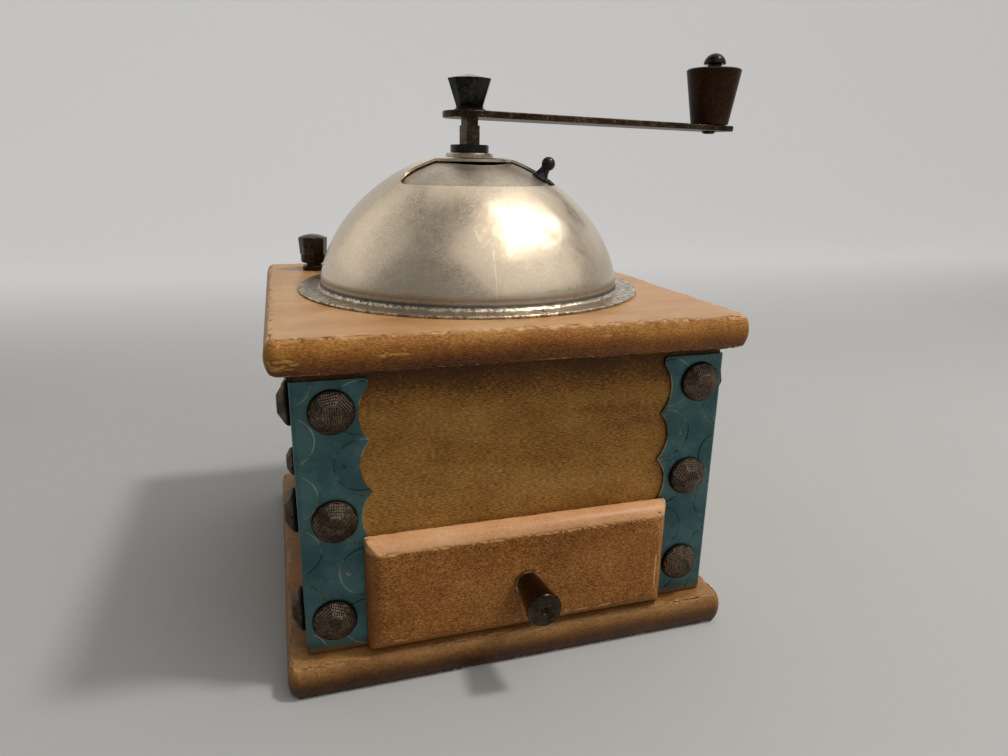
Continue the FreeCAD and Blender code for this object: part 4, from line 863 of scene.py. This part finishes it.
# Name, dark, light and rubbed colour, and what differs from the usual.
METALS = (
    ("stud_bronze", (0.055, 0.039, 0.029), (0.21, 0.152, 0.106), (0.80, 0.66, 0.48),
     dict(rough=0.36, grain=1.1, rub=0.22, cut="knurl")),
    ("knob_bronze", (0.024, 0.017, 0.012), (0.072, 0.049, 0.033), (0.32, 0.22, 0.12),
     dict(rough=0.24, grain=0.9, rub=0.20)),
    # The drawer knob's rubbed colour also paints the highlight on its collar.
    ("drawer_knob_bronze", (0.020, 0.015, 0.011), (0.060, 0.042, 0.030), (0.46, 0.32, 0.20),
     dict(rough=0.24, grain=0.9, rub=0.12, ring=(-72.1, -71.6))),
    ("nut_bronze", (0.009, 0.009, 0.008), (0.036, 0.036, 0.029), (0.42, 0.34, 0.22),
     dict(rough=0.18, grain=0.8, rub=0.12)),
    ("pin_black", (0.010, 0.008, 0.007), (0.026, 0.022, 0.018), (0.20, 0.17, 0.13),
     dict(rough=0.26, grain=1.0, rub=0.12)),
    ("black_enamel", (0.006, 0.006, 0.006), (0.014, 0.013, 0.013), (0.14, 0.13, 0.12),
     dict(rough=0.22, rub=0.12, metal=0.3)),
    ("arm_browned", (0.022, 0.013, 0.009), (0.085, 0.055, 0.032), (0.6, 0.42, 0.2),
     dict(rough=0.4, grain=1.1, rub=0.55, depth=0.12)),
    ("sooty_steel", (0.012, 0.011, 0.010), (0.035, 0.032, 0.028), (0.10, 0.09, 0.08),
     dict(rough=0.5, grain=1.0, rub=0.2)),
    ("turned_steel", (0.17, 0.155, 0.14), (0.36, 0.34, 0.31), (0.66, 0.63, 0.58),
     dict(rough=0.3, grain=1.0, rub=0.4)),
    ("pin_steel", (0.035, 0.024, 0.016), (0.105, 0.078, 0.052), (0.50, 0.38, 0.24),
     dict(rough=0.28, grain=1.0, rub=0.35)),
    ("bush_brass", (0.40, 0.33, 0.24), (0.66, 0.56, 0.43), (0.80, 0.72, 0.58),
     dict(rough=0.3, grain=1.2, rub=0.4)),
    ("mill_iron", (0.03, 0.03, 0.032), (0.075, 0.075, 0.078), (0.2, 0.2, 0.2),
     dict(rough=0.62, grain=0.7, rub=0.25, depth=0.25, metal=0.7)),
    ("burr_steel", (0.11, 0.105, 0.10), (0.26, 0.255, 0.25), (0.5, 0.49, 0.48),
     dict(rough=0.4, grain=0.9, rub=0.4)),
)
metals = {name: worked_metal(name, *colours, **look) for name, *colours, look in METALS}
print("small metals:", len(metals))

# %% [markdown]
# The studs. Each is a low round head pressed with a flat top and six slanting facets, and every facet
# carries a fine cross-hatch, square to that facet. The head is a height over a round plan, so one flat
# triangulation gives the whole face: rows of points for the small squares and the grooves between them,
# rows for the seams between facets, and two rings for the rim. How proud a point stands is kept on it,
# so that the grooves can be painted near black.

# %% One knurled stud
STUD_R = 6.35
STUD_RIM = 0.7
STUD_HIGH = 3.3
STUD_CROWN = 4.8
STUD_FLAT_R = 2.5
STUD_FACETS = 6
STUD_LEAN = 32.5
LEAN_SWING = 2.0
KNURL_PITCH = 0.64
KNURL_CUT = 0.2
KNURL_HIGH = 0.12
SEAM = 0.2
SEAM_HIGH = KNURL_HIGH * 0.8
CROWN_BOWL = (STUD_R ** 2 + (STUD_CROWN - STUD_RIM) ** 2) / (2 * (STUD_CROWN - STUD_RIM))
TOP_TURN = 0.4
PLAIN_RIM = 0.5
RIM_POINTS = 60
RIM_STEP = (0.25, 0.04)
SPOKE_POINTS = 13
SIDE_POINTS = 8
SPOKE_END = 0.45
NAIL_R = 0.9
NAIL_TIP_R = 0.15
NAIL_TIP = 1.5
NAIL_END = -7.0


def facet_turn(k):
    """The way facet k faces, in radians."""
    return 2 * math.pi * k / STUD_FACETS


def crown_at(x, y):
    """Height of the plain head over a place in its plan, and which face lies there."""
    heights = []
    for k in range(STUD_FACETS):
        lean = math.radians(STUD_LEAN + LEAN_SWING * math.sin(2.1 * k))
        out = x * math.cos(facet_turn(k)) + y * math.sin(facet_turn(k))
        heights.append(STUD_HIGH - math.tan(lean) * (out - STUD_FLAT_R))
    heights.append(STUD_HIGH)
    inside = min(x * x + y * y, STUD_R ** 2)
    heights.append(STUD_CROWN - CROWN_BOWL + math.sqrt(CROWN_BOWL ** 2 - inside))
    lowest = min(heights)
    return lowest, heights.index(lowest)


def clear_of_seams(x, y, face):
    """Whether a small ring round the place lies on this one face."""
    ring = [facet_turn(k) + 0.3 for k in range(STUD_FACETS)]
    return all(crown_at(x + SEAM * math.cos(a), y + SEAM * math.sin(a))[1] == face for a in ring)


def knurl_points():
    """(x, y, height above the face) of the small squares and the grooves round them.

    Along each way a groove's bottom is followed by the two edges of a square."""
    count = int(STUD_R / KNURL_PITCH) + 1
    parts = (0.0, KNURL_CUT, 1.0 - KNURL_CUT)
    rows = [(i + part, part > 0) for i in range(-count, count) for part in parts]
    found = []
    for face in range(STUD_FACETS + 1):
        turn_by = facet_turn(face) if face < STUD_FACETS else TOP_TURN
        c, s = math.cos(turn_by), math.sin(turn_by)
        for i, proud_i in rows:
            for j, proud_j in rows:
                x = (i * c - j * s) * KNURL_PITCH
                y = (i * s + j * c) * KNURL_PITCH
                if math.hypot(x, y) > STUD_R - PLAIN_RIM:
                    continue
                if crown_at(x, y)[1] == face and clear_of_seams(x, y, face):
                    found.append((x, y, KNURL_HIGH if proud_i and proud_j else 0.0))
    return found


def ring_points(radius, lift):
    turns = [2 * math.pi * i / RIM_POINTS for i in range(RIM_POINTS)]
    return [(radius * math.cos(a), radius * math.sin(a), lift) for a in turns]


def seam_points():
    """Points along the seams: six spokes from the flat's corners, and the flat's six sides."""
    found = []
    corner_r = STUD_FLAT_R / math.cos(math.pi / STUD_FACETS)
    for k in range(STUD_FACETS):
        a = facet_turn(k + 0.5)
        b = facet_turn(k - 0.5)
        for i in range(SPOKE_POINTS):
            r = corner_r + (STUD_R - SPOKE_END - corner_r) * i / SPOKE_POINTS
            found.append((r * math.cos(a), r * math.sin(a), SEAM_HIGH))
        for i in range(1, SIDE_POINTS + 1):
            t = i / (SIDE_POINTS + 1)
            x = corner_r * ((1 - t) * math.cos(b) + t * math.cos(a))
            y = corner_r * ((1 - t) * math.sin(b) + t * math.sin(a))
            found.append((x, y, SEAM_HIGH))
    return found


def add_cone(bm, low_r, high_r, low, high):
    """A closed cone of twelve sides about the nail's axis, its measures in millimetres."""
    made = bmesh.ops.create_cone(bm, cap_ends=True, segments=12, radius1=low_r * MM,
                                 radius2=high_r * MM, depth=(high - low) * MM)
    bmesh.ops.translate(bm, verts=made["verts"], vec=(0, 0, (low + high) / 2 * MM))


def stud_mesh():
    """The knurled head over its plan, closed below, with its nail."""
    inner, lift = RIM_STEP
    plan = ring_points(STUD_R, 0.0) + ring_points(STUD_R - inner, lift)
    plan += knurl_points() + seam_points()
    flat = [Vector((x, y)) for x, y, lift in plan]
    places, edges, faces, origin, _, _ = geometry.delaunay_2d_cdt(flat, [], [], 0, 1e-4)
    bm = bmesh.new()
    proud = bm.verts.layers.float.new("knurl")
    verts = []
    for place, source in zip(places, origin):
        lift = plan[source[0]][2] if source else 0.0
        high = crown_at(place.x, place.y)[0] + lift
        verts.append(bm.verts.new(Vector((place.x, place.y, high)) * MM))
        verts[-1][proud] = lift / KNURL_HIGH
    for face in faces:
        bm.faces.new([verts[i] for i in face])
    border = [e for e in bm.edges if e.is_boundary]
    wall = bmesh.ops.extrude_edge_only(bm, edges=border)["geom"]
    for part in wall:
        if isinstance(part, bmesh.types.BMVert):
            part.co.z = 0.0
    bmesh.ops.holes_fill(bm, edges=[e for e in bm.edges if e.is_boundary], sides=0)
    add_cone(bm, NAIL_TIP_R, NAIL_R, NAIL_END, NAIL_END + NAIL_TIP)
    add_cone(bm, NAIL_R, NAIL_R, NAIL_END + NAIL_TIP, 0.0)
    bmesh.ops.remove_doubles(bm, verts=bm.verts, dist=MERGE)
    bmesh.ops.recalc_face_normals(bm, faces=bm.faces)
    mesh = bpy.data.meshes.new("knurled_stud")
    bm.to_mesh(mesh)
    bm.free()
    mesh.materials.append(metals["stud_bronze"])
    return mesh


one_stud = new_object("one_stud", stud_mesh())
print("stud:", len(one_stud.data.polygons), "faces")

# %% [markdown]
# Setting the studs. They were hammered in by hand, three down each flange, so no two sit
# quite alike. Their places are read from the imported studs: each is an island of its mesh,
# thinnest along the way it faces. A Geometry Nodes tree puts the head on each point,
# turns it to face out, spins it, and makes some a hair smaller by a seeded random size.

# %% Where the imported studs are
SPIN_FIRST = 11.0
SPIN_STEP = 37.0


def islands(obj):
    """(lowest, highest) corner of each loose part of a mesh, in millimetres."""
    bm = bmesh.new()
    bm.from_mesh(obj.data)
    bmesh.ops.remove_doubles(bm, verts=bm.verts, dist=MERGE)
    seen, found = set(), []
    for start in bm.verts:
        if start in seen:
            continue
        seen.add(start)
        patch, waiting = [], [start]
        while waiting:
            v = waiting.pop()
            patch.append(v.co / MM)
            for edge in v.link_edges:
                other = edge.other_vert(v)
                if other not in seen:
                    seen.add(other)
                    waiting.append(other)
        found.append([Vector(pick(p[i] for p in patch) for i in range(3)) for pick in (min, max)])
    bm.free()
    return found


def stud_points(corner):
    """A mesh of points under the heads of one corner, with the way each faces and its spin."""
    places, ways, spins = [], [], []
    for i, (low, high) in enumerate(islands(nodes["studs_" + corner])):
        middle = (low + high) / 2
        wide = high - low
        axis = 0 if wide.x < wide.y else 1
        way = Vector()
        way[axis] = math.copysign(1.0, middle[axis])
        top = high[axis] if way[axis] > 0 else low[axis]
        middle[axis] = top - way[axis] * STUD_HIGH
        places.append(middle * MM)
        ways.append(way)
        spins.append(math.radians(SPIN_STEP * i + SPIN_FIRST))
    mesh = bpy.data.meshes.new("stud_points_" + corner)
    mesh.from_pydata(places, [], [])
    facing = mesh.attributes.new("facing", "FLOAT_VECTOR", "POINT")
    facing.data.foreach_set("vector", [part for way in ways for part in way])
    mesh.attributes.new("spin", "FLOAT", "POINT").data.foreach_set("value", spins)
    return new_object(mesh.name, mesh)


print("points under the heads ready")

# %% [markdown]
# The tree. It takes the points, the stud, the least size, a seed and the metal. The stud is
# put on every point, made real, and given its material.

# %% The tree that sets the studs
SMALLEST = 0.97
TREE_INPUTS = (
    ("Geometry", "Geometry"), ("Stud", "Object"), ("Smallest", "Float"), ("Seed", "Int"),
    ("Metal", "Material"))
TREE_LINKS = (
    ("given", "Stud", "head", "Object"),
    ("facing", "Attribute", "aim", "Vector"),
    ("spin", "Attribute", "about", "Angle"),
    ("aim", "Rotation", "both", "Rotation"),
    ("about", "Rotation", "both", "Rotate By"),
    ("given", "Smallest", "vary", 2),
    ("given", "Seed", "vary", "Seed"),
    ("given", "Geometry", "put", "Points"),
    ("head", "Geometry", "put", "Instance"),
    ("both", "Rotation", "put", "Rotation"),
    ("vary", 1, "put", "Scale"),
    ("put", "Instances", "real", "Geometry"),
    ("real", "Geometry", "paint", "Geometry"),
    ("given", "Metal", "paint", "Material"),
    ("paint", "Geometry", "result", "Geometry"),
)


def stud_tree():
    tree = bpy.data.node_groups.new("set_studs", "GeometryNodeTree")
    for name, kind in TREE_INPUTS:
        tree.interface.new_socket(name, in_out="INPUT", socket_type="NodeSocket" + kind)
    tree.interface.new_socket("Geometry", in_out="OUTPUT", socket_type="NodeSocketGeometry")
    made = {}

    def add(name, kind, **settings):
        made[name] = tree.nodes.new(kind)
        for key, value in settings.items():
            setattr(made[name], key, value)
        return made[name].inputs

    add("given", "NodeGroupInput")
    add("result", "NodeGroupOutput")
    add("head", "GeometryNodeObjectInfo")
    read = "GeometryNodeInputNamedAttribute"
    add("facing", read, data_type="FLOAT_VECTOR")["Name"].default_value = "facing"
    add("spin", read, data_type="FLOAT")["Name"].default_value = "spin"
    add("aim", "FunctionNodeAlignRotationToVector", axis="Z")
    add("about", "FunctionNodeAxisAngleToRotation")["Axis"].default_value = (0.0, 0.0, 1.0)
    add("both", "FunctionNodeRotateRotation", rotation_space="LOCAL")
    add("vary", "FunctionNodeRandomValue", data_type="FLOAT")[3].default_value = 1.0
    add("put", "GeometryNodeInstanceOnPoints")
    add("real", "GeometryNodeRealizeInstances")
    add("paint", "GeometryNodeSetMaterial")
    for source, out, target, into in TREE_LINKS:
        tree.links.new(made[source].outputs[out], made[target].inputs[into])
    return tree


def set_inputs(modifier, **values):
    """Sets a Geometry Nodes modifier's inputs by their sockets' identifiers."""
    for item in modifier.node_group.interface.items_tree:
        if item.in_out == "INPUT" and item.name in values:
            modifier[item.identifier] = values[item.name]


def baked(obj, name):
    """The evaluated object as a plain mesh of its own."""
    evaluated = obj.evaluated_get(bpy.context.evaluated_depsgraph_get())
    mesh = bpy.data.meshes.new_from_object(evaluated)
    mesh.name = name
    obj.modifiers.clear()
    bpy.data.objects.remove(obj)
    return new_object(name, mesh)


print("tree ready")

# %% [markdown]
# One run of the tree for each corner, each with a seed of its own. The result is one plain
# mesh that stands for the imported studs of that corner.

# %% The studs of the four corners
CORNERS = ("front_left", "front_right", "back_left", "back_right")
setting = stud_tree()
for i, corner in enumerate(CORNERS):
    points = stud_points(corner)
    modifier = points.modifiers.new("set_studs", "NODES")
    modifier.node_group = setting
    set_inputs(modifier, Stud=one_stud, Smallest=SMALLEST, Seed=i, Metal=metals["stud_bronze"])
    studs = baked(points, "knurled_studs_" + corner)
    for name in ("facing", "spin"):
        if name in studs.data.attributes:
            studs.data.attributes.remove(studs.data.attributes[name])
    hand_over(studs, "studs_" + corner)
    print(studs.name, len(studs.data.polygons), "faces")
bpy.data.objects.remove(one_stud)

# %% [markdown]
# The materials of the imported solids. The solids that a worn or knurled piece stands for get
# theirs too, since they are kept as they are beneath it.

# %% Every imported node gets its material
PIECES_OF = {
    base_wood: "base_board",
    top_wood: "top_board",
    panel_wood: "front_panel back_panel",
    side_wood: "left_panel right_panel",
    drawer_wood: "drawer_front",
    inner_wood: "drawer_guide_left drawer_guide_right drawer_left_side drawer_right_side "
                "drawer_back drawer_bottom",
    grip_wood: "crank_handle",
    dome_metal: "hopper_dome",
    door_metal: "hopper_door",
    plate_skin: "plate_front_left plate_front_right plate_back_left plate_back_right",
    metals["stud_bronze"]: "studs_front_left studs_front_right studs_back_left studs_back_right",
    metals["drawer_knob_bronze"]: "drawer_knob",
    metals["knob_bronze"]: "corner_ring corner_knob",
    metals["nut_bronze"]: "cap_nut",
    metals["black_enamel"]: "door_knob thrust_disc",
    metals["arm_browned"]: "crank_arm",
    metals["pin_black"]: "handle_pin",
    metals["pin_steel"]: "spindle arm_washer",
    metals["sooty_steel"]: "bush_nut bush_retainer flange_pins",
    metals["turned_steel"]: "drawer_knob_screw base_screws house_screws bridge_screws thrust_pad "
                            "adjusting_screw",
    metals["bush_brass"]: "top_bush",
    metals["mill_iron"]: "mill_housing bridge",
    metals["burr_steel"]: "outer_burr inner_burr",
}
dressed = []
for material, names in PIECES_OF.items():
    for name in names.split():
        nodes[name].data.materials.clear()
        nodes[name].data.materials.append(material)
        dressed.append(name)
print("dressed", len(dressed), "of", len(nodes), "nodes")

# %% [markdown]
# The room. A pale floor runs up into a pale backdrop in one sweep. What the eye sees of the
# floor is pale, but the light it throws back up at the mill is that of a darker table, so
# that the undersides keep their depth. The wall behind shines softly by itself, to the eye
# and to mirrors alone, so that no lamp marks it.

# %% Floor and backdrop
FLOOR_HALF = 6.0
FLOOR_FRONT = -6.0
BEND_FROM = 0.9
BEND_R = 0.5
BEND_ROWS = 12
WALL_TOP = 2.2
FAR_Y = (180.0, 800.0)
NEAR_TONES = ((0.56, 0.56, 0.55), (0.60, 0.60, 0.59))
TABLE_TONE = (0.22, 0.21, 0.20)
FAR_TONE = (0.12, 0.12, 0.12)
FAR_GLOW = (0.50, 0.495, 0.485)


def sweep_floor():
    """One sheet: floor, a round bend and a wall behind."""
    line = [(FLOOR_FRONT, 0.0), (BEND_FROM, 0.0)]
    for i in range(1, BEND_ROWS + 1):
        a = math.radians(90 * i / BEND_ROWS)
        line.append((BEND_FROM + BEND_R * math.sin(a), BEND_R - BEND_R * math.cos(a)))
    line.append((BEND_FROM + BEND_R, WALL_TOP))
    mesh = bpy.data.meshes.new("studio_floor")
    points = [(x, y, z) for y, z in line for x in (-FLOOR_HALF, FLOOR_HALF)]
    faces = [(2 * i, 2 * i + 1, 2 * i + 3, 2 * i + 2) for i in range(len(line) - 1)]
    mesh.from_pydata(points, [], faces)
    mesh.polygons.foreach_set("use_smooth", [True] * len(faces))
    return new_object("studio_floor", mesh)


def floor_paint():
    f = Finish("floor_paint", Roughness=0.85, Emission_Strength=1.0)
    seen = f.seen()
    far = f.step(f.at("Y"), *FAR_Y)
    pale = f.mix(far, f.mix(f.speckle(0.004, detail=2.0), *NEAR_TONES), FAR_TONE)
    glow = f.mix(far * seen, (0.0, 0.0, 0.0), FAR_GLOW)
    return f.wear(Base_Color=f.mix(seen, TABLE_TONE, pale), Emission_Color=glow)


floor = sweep_floor()
floor.data.materials.append(floor_paint())
print("floor faces:", len(floor.data.polygons))

# %% [markdown]
# The lamps. One small lamp stands high at the right and gives the dome its bright spot. A
# very broad panel high at the front lights the fronts, and being high it leaves the shade
# under the top board. Fainter panels stand behind at the left, where the dome's left flank
# shines back, overhead, and behind at the right. Every lamp is a rectangle that faces the
# middle of the mill from the same distance.

# %% Lamps
LAMP_FROM = Vector((0.0, 0.0, 0.09))
LAMP_DISTANCE = 1.2
KEY_TINT = (1.0, 0.97, 0.92)
PANEL_TINT = (1.0, 0.98, 0.95)
# Name, the way to the lamp, its width and height in metres, its watts, its tint.
LAMPS = (
    ("key_lamp", (0.48, -0.22, 0.85), (0.14, 0.14), 5.4, KEY_TINT),
    ("front_panel_lamp", (0.46, -0.50, 0.74), (2.1, 1.7), 7.6, PANEL_TINT),
    ("left_panel_lamp", (-0.74, 0.36, 0.56), (1.2, 1.0), 1.3, PANEL_TINT),
    ("high_panel_lamp", (0.15, 0.32, 0.93), (1.0, 0.8), 1.6, PANEL_TINT),
    ("back_panel_lamp", (0.45, 0.72, 0.53), (1.4, 1.0), 1.2, PANEL_TINT),
)


def area_light(name, way, size, power, tint):
    """A lamp that no camera sees."""
    light = bpy.data.lights.new(name, "AREA")
    light.shape = "RECTANGLE"
    light.size, light.size_y = size
    light.energy = power
    light.color = tint
    made = new_object(name, light)
    towards = Vector(way).normalized()
    facing = towards.to_track_quat("Z", "Y").to_matrix().to_4x4()
    made.matrix_world = Matrix.Translation(LAMP_FROM + towards * LAMP_DISTANCE) @ facing
    made.visible_camera = False


for lamp in LAMPS:
    area_light(*lamp)
print("lamps:", len(LAMPS))

# %% [markdown]
# The air. It is treated as the floor is: it gives little light, and polished metal sees it
# a little brighter.

# %% The air
AIR_LIGHT = 0.11
AIR_SEEN = 0.26
world = bpy.data.worlds.new("studio_air")
air = Graph(world)
background = air.tree.nodes["Background"]
background.inputs["Color"].default_value = (0.9, 0.9, 0.9, 1.0)
strength = air.node("ShaderNodeMapRange", {}, {
    "Value": air.seen(), "To Min": AIR_LIGHT, "To Max": AIR_SEEN})
air.tree.links.new(strength.socket, background.inputs["Strength"])
bpy.context.scene.world = world
bpy.context.scene.view_settings.view_transform = "Standard"
print("studio ready")
